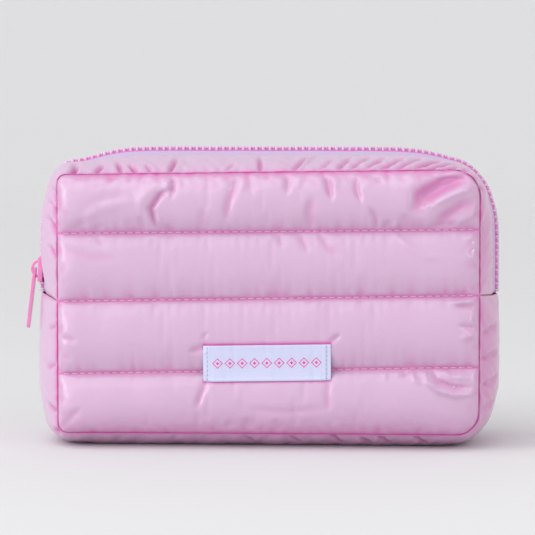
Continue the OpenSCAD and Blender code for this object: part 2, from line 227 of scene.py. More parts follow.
class Route:
    """The sewn edge from the left fold to the right one, over the top (1) or under the bottom (-1)."""

    def __init__(self, side):
        self.side = side
        self.left, self.right = corner_radius["left", side], corner_radius["right", side]
        self.reach = abs(edge_z[side] - fold_z)
        quarter = math.pi / 2
        self.runs = [self.reach - self.left, self.left * quarter]
        self.runs += [2 * seam_x - self.left - self.right, self.right * quarter, self.reach - self.right]
        self.length = sum(self.runs)

    def at(self, d):
        """The point at distance d, and the direction straight out from the seam there."""
        d = min(max(d, 0), self.length)
        starts = [sum(self.runs[:k]) for k in range(5)]
        run = max(k for k in range(5) if d >= starts[k] - 1e-12)
        d -= starts[run]
        edge, side = edge_z[self.side], self.side
        if run == 0:
            return Vector((-seam_x, 0, fold_z + side * d)), Vector((-1, 0, 0))
        if run == 1:
            out = Vector((-math.cos(d / self.left), 0, side * math.sin(d / self.left)))
            return Vector((self.left - seam_x, 0, edge - side * self.left)) + out * self.left, out
        if run == 2:
            return Vector((self.left - seam_x + d, 0, edge)), Vector((0, 0, side))
        if run == 3:
            out = Vector((math.sin(d / self.right), 0, side * math.cos(d / self.right)))
            return Vector((seam_x - self.right, 0, edge - side * self.right)) + out * self.right, out
        return Vector((seam_x, 0, edge - side * (self.right + d))), Vector((1, 0, 0))


over_top, under_bottom = Route(1), Route(-1)
print("seam routes", [round(r.length / mm) for r in (over_top, under_bottom)], "mm")

# %% How the front leans, and how round an edge is
lean_at = list(zip(seams, (0.0, 0.021, 0.018, 0.012, 0.014)))
tuck, tuck_back, tuck_width = 0.25 * mm, 0.6 * mm, 1.2 * mm


def lean(spot):
    """How much higher the front cloth sits at this point: its lines climb a little to the right."""
    depth = min(1, max(0, -spot.y / seam_y))
    for (z0, slope0), (z1, slope1) in zip(lean_at, lean_at[1:]):
        if spot.z <= z1 or z1 == seam_top:
            share = min(1, max(0, (spot.z - z0) / (z1 - z0)))
            return (slope0 + (slope1 - slope0) * share) * spot.x * depth * depth
    return 0


def rounded(share):
    """0 to 1 as a quarter circle: steep at first, then level, as stuffed cloth leaves a seam."""
    share = min(1, max(0, share))
    return math.sqrt(1 - (1 - share) ** 2)


print("at its right end a line of the front climbs", [round(s * seam_x / mm, 1) for z, s in lean_at], "mm")

# %% [markdown]
# ## Cloth that is held at its seams
#
# Puffed cloth is cut larger than the space it is sewn into, and the stitches hold only its lines.
# That is exactly what a cloth simulation does: pin the seam points, let the rest grow by a few
# percent, blow it up softly, and folds appear by themselves where the cloth has too much length. The
# solver is made for things metres wide, so a piece is enlarged ten times while it settles.

# %% A grid of cloth, made a piece
def cloth_grid(columns, rows, place):
    """A grid whose point (u, v), both 0 to 1, goes where place says; its flat pattern is its UV map."""
    sheet = bmesh.new()
    bmesh.ops.create_grid(sheet, x_segments=columns, y_segments=rows, size=0.5)
    flat = sheet.loops.layers.uv.new("flat")
    pattern = {}
    for vert in sheet.verts:
        u, v = vert.co.x + 0.5, vert.co.y + 0.5
        vert.co, pattern[vert.index] = place(u, v)
    for face in sheet.faces:
        for loop in face.loops:
            loop[flat].uv = pattern[loop.vert.index]
    return sheet


def face_outwards(sheet, middle=Vector((0, 0, 70 * mm))):
    """Turns an open sheet over if it faces the middle of the pouch."""
    sheet.normal_update()
    if sum(f.normal.dot(f.calc_center_median() - middle) for f in sheet.faces) < 0:
        bmesh.ops.reverse_faces(sheet, faces=sheet.faces[:])


def new_piece(name, sheet, material):
    """An object at the origin from a bmesh, with its material."""
    mesh = bpy.data.meshes.new(name)
    sheet.to_mesh(mesh)
    sheet.free()
    mesh.materials.append(material)
    mesh.shade_smooth()
    piece = bpy.data.objects.new(name, mesh)
    bpy.context.scene.collection.objects.link(piece)
    return piece


def bake_modifiers(piece):
    """Makes the piece's modifiers part of its mesh."""
    done = bpy.data.meshes.new_from_object(piece.evaluated_get(bpy.context.evaluated_depsgraph_get()))
    piece.modifiers.clear()
    piece.data = done
    return done


print("grid tools ready")


# %% Settling cloth between its pins, and finishing it
def settle(piece, pins, growth, slack=None, pressure=40, stiffness=6, frames=20, limit=4 * mm):
    """Holds the pins and lets the rest of the cloth find its shape; slack gives some points more growth."""
    big = 10
    start = [v.co.copy() for v in piece.data.vertices]
    piece.data.transform(Matrix.Scale(big, 4))
    piece.vertex_groups.new(name="held").add(pins, 1, "REPLACE")
    loose = piece.vertex_groups.new(name="slack")
    for index, weight in (slack or {}).items():
        loose.add([index], weight, "REPLACE")
    cloth = piece.modifiers.new("cloth", "CLOTH")
    cloth.settings.vertex_group_mass = "held"
    cloth.settings.vertex_group_shrink = "slack"
    cloth.settings.shrink_min, cloth.settings.shrink_max = -growth, -growth * 2.5
    cloth.settings.quality = 5
    cloth.settings.bending_stiffness = stiffness
    cloth.settings.use_pressure = True
    cloth.settings.uniform_pressure_force = pressure
    cloth.settings.effector_weights.gravity = 0
    cloth.collision_settings.use_collision = False
    cloth.point_cache.frame_end = frames
    for number in range(1, frames + 1):
        bpy.context.scene.frame_set(number)
    mesh = bake_modifiers(piece)
    piece.vertex_groups.clear()
    for vert, origin in zip(mesh.vertices, start):
        move = vert.co / big - origin
        vert.co = origin + move * min(1, limit / max(move.length, 1e-9))
    bpy.context.scene.frame_set(1)


def subdivide_once(piece):
    """One round of subdivision, made part of the mesh."""
    smooth = piece.modifiers.new("smooth", "SUBSURF")
    smooth.levels = smooth.render_levels = 1
    smooth.boundary_smooth = "PRESERVE_CORNERS"
    bake_modifiers(piece)


def thicken(piece, thickness):
    """Gives the cloth its thickness, inwards."""
    wall = piece.modifiers.new("thickness", "SOLIDIFY")
    wall.thickness, wall.offset = thickness, -1
    bake_modifiers(piece)


def set_attribute(piece, name, values):
    """A number for each point of the mesh, which the material reads by name."""
    attribute = piece.data.attributes.new(name, "FLOAT", "POINT")
    attribute.data.foreach_set("value", values)


print("cloth tools ready")

# %% [markdown]
# ## Listed folds
#
# A simulation gives puckers everywhere, but a real pouch has its own few dents, where it was packed
# or pulled. A fold is a short path on the cloth with a depth and a width: points near the path move
# in or out, less and less with distance. It is the same as drawing a stroke with a sculpting brush.

# %% Distance to a path, and how deep a fold is at a point
def along_path(x, z, path):
    """Distance from a point to a path, and how far along the path it is, 0 to 1."""
    nearest, where, walked = 1e9, 0, 0
    for (ax, az), (bx, bz) in zip(path, path[1:]):
        dx, dz = bx - ax, bz - az
        length = math.hypot(dx, dz)
        share = min(1, max(0, ((x - ax) * dx + (z - az) * dz) / length**2))
        gap = math.hypot(x - ax - dx * share, z - az - dz * share)
        if gap < nearest:
            nearest, where = gap, walked + length * share
        walked += length
    return nearest, where / walked


def fold_depth(x, z, folds):
    """Sum of the folds at a point, in millimetres: above 0 is a valley and below 0 a ridge.

    A fold is full near the start of its path and runs out, narrower and shallower, towards its end.
    """
    total = 0
    for path, depth, width in folds:
        if min(p[0] for p in path) - 3 * width < x < max(p[0] for p in path) + 3 * width:
            gap, share = along_path(x, z, path)
            if gap < 3 * width:
                tail = min(1, (1 - share) / 0.4)
                tail = tail * tail * (3 - 2 * tail)
                narrow = width * (0.6 + 0.4 * tail)
                total += depth * min(1, 0.45 + 2.2 * share) * tail * math.exp(-((gap / narrow) ** 2))
    return total


print("fold tools ready")

# %% [markdown]
# ## The two panels
#
# A panel is one piece of cloth with four channels. Its stitch lines and its edge are pinned, so each
# channel swells like an air bed. The top channel gets more slack than the others, and its folds run
# down from the seam. The upper right corner of the front has been pushed in, which leaves a deep dent
# and a ridge. Sewing leaves marks of its own: short puckers above and below each stitch line, and a
# gathered rim along the seam. Noise that fades away from the line draws both. Where the cloth is
# pinched, just above the bottom seam and beside the label's long edges, shade is painted in as a
# deeper pink.

# %% Rows and columns of a panel
def graded(count, start, end, bend_start=1.0, bend_end=1.0):
    """Steps from start to end, closer together at an end whose bend is above 1."""
    steps = []
    for k in range(count + 1):
        share = k / count
        share = share**bend_start if bend_start > 1 else 1 - (1 - share) ** bend_end
        steps.append(start + (end - start) * share)
    return steps


cell = 1.5 * mm
sewn_lines = [seam_bottom + tuck, low_line, fold_z, high_line, seam_top - tuck]
panel_rows = [sewn_lines[0]]
for k, (below, above) in enumerate(zip(sewn_lines, sewn_lines[1:])):
    count = round((above - below) / cell) + (3 if k in (0, 3) else 0)
    steps = graded(count, below, above, 1.5 if k == 0 else 1, 1.5 if k == 3 else 1)
    panel_rows += steps[1:]
panel_columns = round(2 * seam_x / cell)


def panel_reach(z, side):
    """How far left (-1) or right (1) the panel reaches at this height."""
    half = 1 if z > fold_z else -1
    radius = corner_radius["left" if side < 0 else "right", half] - tuck
    into = max(0, radius - abs(edge_z[half] - half * tuck - z))
    return seam_x - tuck - radius + math.sqrt(max(0, radius**2 - into**2))


def channel_share(z):
    """Which channel this height is in, and how far up it."""
    channel = max(k for k in range(4) if z >= sewn_lines[k] - 1e-9)
    below, above = sewn_lines[channel], sewn_lines[channel + 1]
    return channel, min(1, max(0, (z - below) / (above - below)))


def puffed(x, z):
    """How far out the stuffed panel stands from the seam plane, before it settles."""
    edge = min(panel_reach(z, -1) + x, panel_reach(z, 1) - x)
    channel, share = channel_share(z)
    ends = min(z - sewn_lines[0], sewn_lines[-1] - z)
    base = (groove_y - seam_y + tuck_back) * rounded(min(edge, ends) / (2.5 * mm))
    lobe = (crown_y - groove_y) * math.sin(math.pi * share) ** 0.75 * rounded(edge / (11 * mm))
    return base - tuck_back + lobe


print("a panel's grid:", panel_columns, "by", len(panel_rows) - 1, "faces")

# %% Folds of the front and of the back, as paths in millimetres with a depth and a width
front_folds = [
    (((-44, 131), (-44.5, 118)), 1.7, 1.2),
    (((-46.5, 130), (-47.5, 121)), -1.0, 1.6),
    (((-45.5, 124), (-50.5, 121), (-54.5, 115), (-52.5, 108), (-49, 103.5)), 2.4, 1.4),
    (((-52, 126), (-58.5, 120), (-59, 112)), -0.9, 2.4),
    (((-51.5, 111), (-48.8, 107), (-47.5, 104)), -1.5, 1.2),
    (((-58, 104), (-59.5, 113)), 0.9, 1.8),
    (((-63, 104), (-66, 111)), 0.5, 1.6),
    (((-13, 131), (-17.5, 118), (-20.2, 105)), 1.5, 2.2),
    (((-10, 131), (-13, 121)), -0.7, 2.2),
    (((-29, 104), (-31, 116)), 0.7, 2.4),
    (((-66, 118), (-79, 115.5), (-88, 108)), -1.1, 3.0),
    (((-64, 121), (-76, 119), (-88, 113)), 0.7, 3.2),
    (((-92, 104), (-84, 110)), 0.9, 2.2),
    (((-82, 103.5), (-76, 108)), 0.7, 1.6),
    (((9.7, 131), (9.7, 120)), 1.7, 1.7),
    (((15, 131), (14, 122)), -0.7, 1.8),
    (((27, 131), (29, 123), (31, 116)), 2.2, 1.7),
    (((31, 131), (33, 122)), -0.8, 1.8),
    (((41.5, 129), (42, 122), (44.5, 115)), 1.9, 1.5),
    (((20.5, 103.5), (20, 112), (22, 122)), 1.3, 2.4),
    (((47, 131), (55, 125.5)), 1.4, 1.5),
    (((51, 103.5), (50.5, 110), (47, 116)), 1.3, 1.3),
    (((55, 104), (57, 109)), 0.9, 1.2),
    (((60, 104), (60, 108)), -0.8, 1.0),
    (((66, 103.5), (64, 113)), 0.9, 2.0),
    (((93, 128), (82, 124), (72.5, 119), (70.5, 114.5), (74, 109.5)), 5.2, 4.2),
    (((97, 123.5), (87, 120.5), (79, 116.5), (75.5, 111.5)), -2.6, 2.0),
    (((96, 116), (91, 115), (82, 109), (77, 104)), 2.4, 2.6),
    (((97, 110), (92, 108.5), (86, 104)), -1.0, 1.5),
    (((76, 103.5), (83, 106), (92, 106)), 1.2, 1.5),
    (((15.3, 102), (20, 92)), 1.0, 1.8),
    (((24.7, 102), (29, 95), (36, 90)), 1.0, 1.7),
    (((5, 102), (8, 95)), 0.6, 1.8),
    (((60, 101), (66, 95), (74, 90.5), (84, 90)), -0.9, 1.8),
    (((97, 102), (92, 97)), -1.2, 1.6),
    (((98, 95), (93, 91)), 0.8, 1.6),
    (((-95, 96), (-82, 91.5), (-66, 91)), 0.7, 2.2),
    (((-80, 102), (-76, 96)), 0.6, 1.6),
    (((98, 69), (93, 69), (84, 68.5)), -1.8, 1.2),
    (((98, 66), (92, 66.5), (86, 66)), 1.2, 1.2),
    (((98, 56), (88, 58)), 1.3, 1.4),
    (((98, 53.5), (89, 51.5)), -1.0, 1.4),
    (((73.5, 37), (75, 31.5), (80, 27.5), (88, 25.5), (99, 26)), -2.3, 1.0),
    (((77, 36.5), (80, 31.5), (88, 28.8), (99, 29.2)), 2.2, 1.2),
    (((81, 37), (86, 33.5), (97, 33)), -1.6, 1.0),
    (((67.5, 37), (69, 32.5), (72.5, 29.5)), -1.3, 0.9),
    (((64, 37), (65, 33)), 0.8, 1.1),
    (((61, 37), (61.5, 33)), -0.8, 0.9),
    (((55, 36.5), (56, 32)), -0.8, 0.9),
    (((-28, 33), (-31, 26), (-34, 18)), 1.4, 1.7),
    (((-28, 51), (-31, 49), (-38, 47)), 1.3, 1.5),
    (((-30, 53), (-28, 57)), 0.7, 1.2),
    (((29.5, 51), (35, 55)), 1.2, 1.3),
    (((29, 33), (28.5, 26), (29.5, 17)), 1.0, 1.7),
    (((-97, 10), (-92, 16), (-86, 22)), 1.0, 1.9),
    (((-8, 8), (-10, 16)), 0.9, 1.8),
    (((6, 8), (3, 15)), 0.9, 1.9),
    (((-20, 8), (-17, 15)), 0.7, 1.6),
    (((28, 20), (10, 18), (-14, 20)), 0.6, 2.0),
    (((-98, 55), (-88, 53)), 0.9, 1.6),
    (((-98, 47), (-91, 44)), 0.6, 1.4),
]
back_folds = [
    (((-60, 130), (-57, 118), (-59, 105)), 1.2, 2.0),
    (((-22, 131), (-24, 119)), 1.1, 1.6),
    (((12, 130), (16, 116), (13, 104)), 1.2, 2.4),
    (((44, 131), (46, 121)), 1.2, 1.6),
    (((70, 128), (82, 121), (94, 119)), 1.5, 3.0),
    (((-96, 122), (-84, 119), (-76, 110)), 1.6, 3.0),
    (((-40, 101), (-36, 90)), 0.7, 1.8),
    (((60, 100), (55, 88)), 0.7, 1.8),
    (((-94, 50), (-80, 53)), 0.8, 1.8),
    (((84, 62), (97, 60)), 0.8, 1.8),
    (((-84, 27), (-97, 25)), -0.9, 1.2),
    (((20, 36), (24, 24)), 0.6, 1.8),
]
print(len(front_folds), "folds in front,", len(back_folds), "behind")


# %% How sewing gathers the cloth
stitch_pitch = 3.8 * mm
cloth_thickness = 0.35 * mm
pucker_depth, pucker_above, pucker_below = 1.1 * mm, 3.4 * mm, 2.0 * mm
rim_depth, rim_reach = 0.9 * mm, 3.4 * mm
pressed_flat = 1.5 * mm
padding_left = 1.9 * mm
label_low, label_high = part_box("label")
label_mid = (label_low + label_high) / 2


def label_shade(x, z, side):
    """The line of deep pink shade along the label's two long edges."""
    if side > 0 or abs(x) > label_high.x:
        return 0
    gap = abs(z - label_mid.z) - (label_high.z - label_low.z) / 2
    return math.exp(-((max(0, gap - 0.4 * mm) / (1.0 * mm)) ** 2)) if gap > -1.5 * mm else 0


def pattern_of(piece):
    """Each point's place on the flat pattern, from the UV map."""
    flat = piece.data.uv_layers["flat"].data
    found = {loop.vertex_index: tuple(flat[loop.index].uv) for loop in piece.data.loops}
    return {index: found[index] for index in sorted(found)}


print("stitches every", stitch_pitch / mm, "mm")


# %% Make a panel
def make_panel(name, side, folds, seed):
    """The outer cloth of the front (-1) or back (1) panel, quilted, puffed and folded."""

    def place(u, v):
        z = panel_rows[round(v * (len(panel_rows) - 1))]
        left, right = -panel_reach(z, -1), panel_reach(z, 1)
        x = left + (right - left) * u
        wavy = noise.noise(Vector((x * 70, z * 45, seed))) * 0.5 * mm
        out = puffed(x, z)
        spot = Vector((x, side * (seam_y + out + wavy * min(1, out / (3 * mm))), z))
        if out < 0:
            spot.y = side * (seam_y + out)
        spot.z += lean(spot)
        return spot, (x, z)

    sheet = cloth_grid(panel_columns, len(panel_rows) - 1, place)
    face_outwards(sheet)
    flat = sheet.loops.layers.uv["flat"]
    pins, slack = [], {}
    for vert in sheet.verts:
        x, z = vert.link_loops[0][flat].uv
        channel = channel_share(z)[0]
        if vert.is_boundary or min(abs(z - line) for line in seams[1:4]) < 0.1 * mm:
            pins.append(vert.index)
        elif channel == 3:
            slack[vert.index] = 0.9
        else:
            slack[vert.index] = 0.25 + 0.4 * noise.noise(Vector((x * 20, channel, seed)))
    panel = new_piece(name, sheet, glossy_nylon)
    settle(panel, pins, 0.009, slack, stiffness=10)
    subdivide_once(panel)
    crease_shade = []
    flat_of = pattern_of(panel)
    for vert in panel.data.vertices:
        x, z = flat_of[vert.index]
        edge = min(panel_reach(z, -1) + x, panel_reach(z, 1) - x, z - sewn_lines[0], sewn_lines[-1] - z)
        over, line = min(((z - sewn, sewn) for sewn in seams[1:4]), key=lambda pair: abs(pair[0]))
        away = abs(over)
        free = min(1, edge / (4 * mm)) * min(1, 0.25 + away / (3 * mm))
        fold = fold_depth(x / mm, z / mm, folds) * free
        pucker = noise.noise(Vector((x * 330, line * 90, seed)))
        pucker += 0.6 * noise.noise(Vector((x * 90, line, seed)))
        fade = math.exp(-away / (pucker_above if over > 0 else pucker_below)) * min(1, edge / (3 * mm))
        push = fold * mm + pucker_depth * pucker * fade * min(1, away / (0.9 * mm))
        rim = math.exp(-edge / rim_reach) * min(1, edge / (0.8 * mm))
        gather = noise.noise(Vector((x * 260, z * 260, seed)))
        push += rim_depth * rim * gather
        flush = max(0, 1 - away / pressed_flat) * min(1, edge / (3 * mm))
        least = seam_y - tuck_back + padding_left * min(1, edge / (2.5 * mm))
        stands = max(least, side * vert.co.y - push)
        vert.co.y = side * (stands + (groove_y - stands) * flush)
        # Painted shade: deeper pink in the seam, along the stitch lines, in puckers, rim and fold valleys,
        # just above the bottom seam and beside the label.
        in_seam = math.exp(-edge / (1.0 * mm)) * (0.8 + 0.5 * gather)
        in_stitches = 0.85 * math.exp(-((away / (0.9 * mm)) ** 2))
        in_puckers = fade * max(0, 0.2 + 0.9 * pucker) * (0.75 if over > 0 else 0.3)
        in_rim = rim * max(0, 0.2 + gather) * 0.9
        at_foot = 0.5 * math.exp(-(z - seam_bottom) / (4.5 * mm)) * (0.8 + 0.4 * gather)
        in_folds = min(0.5, 0.16 * fold)
        deep = max(in_seam, in_stitches, in_puckers, in_rim, at_foot, in_folds, label_shade(x, z, side))
        crease_shade.append(min(1, max(0, deep)))
    set_attribute(panel, "crease_shade", crease_shade)
    return panel


front_panel = make_panel("front_panel", -1, front_folds, 3.1)
back_panel = make_panel("back_panel", 1, back_folds, 8.7)
print("panels:", len(front_panel.data.polygons), "faces each")

# %% [markdown]
# ## The gusset
#
# The gusset is the band between the two panels. Below the fold it is one wide strip round the bottom
# of the pouch, and above it two narrow ones, each turned under along the zip. It bows outwards, more
# on the left than on the right, stays flat under the pouch, and is drawn tight where it turns a
# corner. The long edge of the band is eased onto the shorter panel edge, so small slanting folds run
# away from the seam. One broad, low ridge on the left hides the chain behind the front strip.

# %% The gusset's skin
foot_swell = edge_z[-1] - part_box("base_gusset")[0].z + 0.5 * mm
left_swell, right_swell, top_swell = gusset_out + 1 * mm, gusset_out - 1.7 * mm, gusset_out - 0.4 * mm
corner_pulls = {1: (0.6, 0.58, 14 * mm, 20 * mm), -1: (0.1, 0.22, 12 * mm, 12 * mm)}


def corner_pull(route, d):
    """How much the cloth is drawn in near a corner: the band is tight where it turns."""
    left_pull, right_pull, side_width, end_width = corner_pulls[route.side]
    pull = 0
    for centre, amount, sign in ((route.runs[0] + route.runs[1] / 2, left_pull, 1),
                                 (route.length - route.runs[4] - route.runs[3] / 2, right_pull, -1)):
        away = (d - centre) * sign
        pull += amount * math.exp(-((away / (end_width if away > 0 else side_width)) ** 2))
    return pull


def gusset_skin(route, d, y, inset=0.0):
    """The point on the gusset at distance d along the seam and depth y, inset by some layers."""
    spot, out = route.at(d)
    share = min(1, abs(y) / seam_y)
    side = (left_swell if out.x < 0 else right_swell) - 0.12 * max(0, 28 * mm - spot.z)
    power = 1.15 if route.side > 0 else 1.25 + 0.9 * min(1, d / (25 * mm), (route.length - d) / (25 * mm))
    side_swell = side * (1 - share**power)
    end_swell = top_swell * (1 - share**power) if route.side > 0 else foot_swell * (1 - share**3)
    swell = side_swell * out.x**2 + end_swell * out.z**2
    swell *= 1 - corner_pull(route, d)
    from_seam = rounded((seam_y - abs(y)) / tuck_width)
    from_fold = rounded(min(d, route.length - d) / (1.8 * mm))
    swell -= tuck * (1 - from_seam) + 0.5 * mm * (1 - from_fold)
    point = spot + out * (swell - inset)
    point.y = y - math.copysign(tuck_back * (1 - from_seam), y)
    point.z = max(inset + 0.1 * mm, point.z) + lean(point)
    return point


def top_at(x):
    """The distance along the upper seam, in millimetres, of a place on its straight top."""
    return (over_top.runs[0] + over_top.runs[1] + x * mm + seam_x - over_top.left) / mm


corner_at = sum(over_top.runs[:3]) / mm
foot_corner_at = under_bottom.runs[0] / mm
print("the straight top runs from", round(sum(over_top.runs[:2]) / mm), "to", round(corner_at), "mm")


# %% Folds of the gusset, as paths of distance along the seam and depth, in millimetres
front_strip_folds = [
    (((66, -19), (-4, -17)), -1.4, 7.0),
    (((20, -34), (25, -24)), 1.3, 1.6),
    (((31, -34), (38, -22)), 1.8, 1.8),
    (((38, -34), (46, -23)), 1.9, 1.7),
    (((46, -34), (52, -25)), 1.9, 1.5),
    (((top_at(-92), -34), (top_at(-91), -19)), 2.0, 1.5),
    (((top_at(-81), -33), (top_at(-78), -22)), 1.2, 1.3),
    (((top_at(-69), -34), (top_at(-72), -21)), 1.4, 1.3),
    (((top_at(-62), -34), (top_at(-66), -24)), 1.2, 1.3),
    (((top_at(-55), -34), (top_at(-58), -25)), 0.9, 1.2),
    (((top_at(-46.5), -34), (top_at(-44), -16)), 1.2, 1.2),
    (((top_at(-3.5), -34), (top_at(-5), -14)), 1.2, 1.2),
    (((top_at(-20), -34), (top_at(-16), -25)), 0.6, 1.2),
    (((top_at(12), -33), (top_at(19), -14)), 0.8, 1.2),
    (((top_at(15), -33), (top_at(22), -14)), -0.7, 1.0),
    (((top_at(24), -34), (top_at(31), -19)), 0.6, 1.2),
    (((top_at(32), -34), (top_at(40), -14)), 0.9, 1.4),
    (((top_at(38), -34), (top_at(49), -14)), 0.8, 1.3),
    (((top_at(45), -34), (top_at(56), -16)), 0.9, 1.3),
    (((top_at(52), -34), (top_at(66), -16)), 1.0, 1.3),
    (((top_at(60), -34), (top_at(74), -14)), 1.0, 1.5),
    (((top_at(68), -34), (top_at(83), -14)), 1.4, 1.6),
    (((top_at(75), -34), (top_at(90), -16)), 1.2, 1.4),
    (((top_at(83), -34), (corner_at + 4, -24)), 1.5, 1.4),
    (((corner_at + 5, -34), (corner_at + 6, -22)), 1.7, 1.2),
    (((corner_at + 15, -34), (corner_at + 17, -24)), 1.6, 1.2),
    (((corner_at + 10, -33), (corner_at + 11, -25)), -0.7, 2.2),
    (((56, -32.5), (44, -33), (26, -33.4)), 2.0, 1.5),
]
back_strip_folds = [(((d, 34), (d + lean_d, 22)), depth, 1.3)
                    for d, lean_d, depth in ((70, 4, 0.9), (95, -3, 0.8), (131, 3, 1.0), (160, 2, 0.8),
                                             (188, -4, 1.0), (214, 5, 0.9), (236, 6, 1.2))]
base_folds = [
    (((foot_corner_at + 3, -34), (foot_corner_at + 4, -25)), 1.4, 1.1),
    (((foot_corner_at - 6, -34), (foot_corner_at - 9, -24)), 0.8, 1.2),
    (((30, -34), (34, -24)), 0.7, 1.2),
    (((12, -34), (15, -26)), 0.6, 1.0),
]
base_folds += [(((d, -34), (d + 7, -22)), depth, 1.2)
               for d, depth in ((150, 0.5), (172, 0.7), (192, 0.9), (205, 0.8), (214, 0.9), (231, 0.8))]
base_folds += [(((d, -33), (d + 5, -12)), 1.0, 1.6) for d in (268, 279, 291, 303)]
base_folds += [(((d, 34), (d + 5, 22)), 0.8, 1.4) for d in (20, 48, 92, 120, 171, 215, 250, 290)]
print("gusset folds:", [len(folds) for folds in (front_strip_folds, back_strip_folds, base_folds)])


# %% Make a gusset strip
gusset_fold_scale = 1.8


def make_gusset(name, route, stations, folds, seed, gather):
    """Outer cloth of a gusset strip: stations are (depth, inset) pairs from one edge to the other."""
    columns = round(route.length / cell)

    def place(u, v):
        y, inset = stations[round(v * (len(stations) - 1))]
        d = route.length * u
        wavy = noise.noise(Vector((d * 200, y * 40, seed))) * 0.3 * mm
        edge = rounded((seam_y - abs(y)) / tuck_width) if inset == 0 else 0
        return gusset_skin(route, d, y, inset - wavy * edge), (d, y)

    sheet = cloth_grid(columns, len(stations) - 1, place)
    face_outwards(sheet)
    flat = sheet.loops.layers.uv["flat"]
    pins, slack = [], {}
    folded = {round(y, 6) for y, inset in stations if inset > 0}
    for vert in sheet.verts:
        d, y = vert.link_loops[0][flat].uv
        if vert.is_boundary or round(y, 6) in folded or abs(y) > seam_y - 0.5 * mm:
            pins.append(vert.index)
        else:
            slack[vert.index] = min(1, 0.2 + 0.8 * d / route.length)
    strip = new_piece(name, sheet, glossy_nylon)
    start = [vert.co.copy() for vert in strip.data.vertices]
    outward = [route.at(pattern[0])[1] for pattern in pattern_of(strip).values()]
    settle(strip, pins, 0.02, slack, pressure=25, limit=2.5 * mm)
    for index, (vert, before) in enumerate(zip(strip.data.vertices, start)):
        beyond = (vert.co - before).dot(outward[index])
        vert.co -= outward[index] * (0.7 * max(0, beyond))
    subdivide_once(strip)
    flat_of, crease_shade = pattern_of(strip), []
    for vert in strip.data.vertices:
        d, y = flat_of[vert.index]
        out = route.at(d)[1]
        from_seam = seam_y - abs(y)
        free = min(1, from_seam / (2 * mm)) * min(1, min(d, route.length - d) / (3 * mm))
        free *= min(1, max(0, (abs(y) - strip_edge_y) / (3 * mm))) if route.side > 0 else 1
        ridges = noise.noise(Vector(((d + 0.55 * (y + seam_y)) * 260, y * 45, seed)))
        fade = math.exp(-from_seam / (13 * mm)) * (0.45 + 0.55 * d / route.length)
        push = gather * ridges * fade
        push += 0.5 * mm * noise.noise(Vector((d * 420, y * 120, seed + 5))) * math.exp(-from_seam / (4 * mm))
        push += gusset_fold_scale * mm * fold_depth(d / mm, y / mm, folds)
        vert.co -= out * push * free
        vert.co.z = max(0.05 * mm, vert.co.z)
        # Painted shade: deeper pink in fold valleys, along the seam and at the ends by the fold, and over the
        # right side and the underside of the band, which face away from the light.
        valley = max(0, push / mm - 0.1) * (0.3 + 0.5 * math.exp(-from_seam / (5 * mm)))
        deep = max(math.exp(-from_seam / (1.1 * mm)), min(0.8, valley) * free)
        deep = max(deep, 0.6 * math.exp(-min(d, route.length - d) / (0.9 * mm)))
        crease_shade.append(max(deep, 0.4 * max(0, out.x), 0.22 * max(0, -out.z)))
    set_attribute(strip, "crease_shade", crease_shade)
    return strip


half_rows = [-y for y in graded(24, 0, seam_y, 1, 1.5)]
full_rows = [(y, 0.0) for y in reversed(half_rows)] + [(-y, 0.0) for y in half_rows[1:]]
strip_rows = [(-y, 0.0) for y in reversed(graded(20, strip_edge_y, seam_y, 1, 1.5))]
strip_rows += [(0.1 * mm - strip_edge_y, 0.5 * mm), (-strip_edge_y - 0.5 * mm, 1.0 * mm)]
strip_rows += [(-strip_edge_y - 2.5 * mm, 1.05 * mm)]
base_gusset = make_gusset("base_gusset_cloth", under_bottom, full_rows, base_folds, 2.2, 1.21 * mm)
front_strip = make_gusset("front_strip_cloth", over_top, strip_rows, front_strip_folds, 5.4, 1.43 * mm)
back_rows = [(-y, inset) for y, inset in strip_rows]
back_strip = make_gusset("back_strip_cloth", over_top, back_rows, back_strip_folds, 9.1, 1.21 * mm)
print("gusset strips:", [len(p.data.polygons) for p in (base_gusset, front_strip, back_strip)], "faces")

# %% [markdown]
# ## The zip
#
# A zip is two tapes with a row of moulded teeth on each. The tapes are sewn under the folded edges of
# the strips, and only their inner few millimetres show. A round cord along each inner edge carries the
# teeth; it is painted a deeper pink, as the shade in the gaps between the teeth. The teeth of one side
# sit in the gaps of the other, half a pitch along. Below the slider the two rows are already apart.

# %% Zip finishes
# The lilac tape colour, and the deeper pink painted on the cord as shade between the teeth.
tape_dye, cord_shade_colour = (0.56, 0.46, 0.67), (0.66, 0.16, 0.46)
tape_cloth = woven_cloth("zip_tape_weave", tape_dye, cord_shade_colour, 0.7, 0.0, 0.7 * mm, 0.12 * mm)
tooth_plastic, tooth_tree, tooth_shader = new_material("moulded_teeth", (0.82, 0.52, 0.74), 0.34)
tooth_place = add_node(tooth_tree, "ShaderNodeTexCoord")
tooth_grain = add_node(tooth_tree, "ShaderNodeTexNoise", Scale=900.0, Detail=2.0)
tooth_tree.links.new(tooth_place.outputs["Object"], tooth_grain.inputs["Vector"])
bump(tooth_tree, tooth_shader, tooth_grain.outputs["Fac"], 0.2, 0.05 * mm)
tint = mix_colours(tooth_tree, tooth_grain.outputs["Fac"], (0.86, 0.62, 0.82), (0.78, 0.46, 0.71))
tooth_tree.links.new(tint, tooth_shader.inputs["Base Color"])
tooth_shader.inputs["Subsurface Weight"].default_value = 0.1
tooth_shader.inputs["Subsurface Radius"].default_value = (0.002, 0.001, 0.002)
print("made", tape_cloth.name, "and", tooth_plastic.name)

# %% The two tapes
tape_low, tape_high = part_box("front_zip_tape_top")
tape_inner, tape_outer = -tape_high.y, -tape_low.y
chain_inset = gusset_out - chain_out


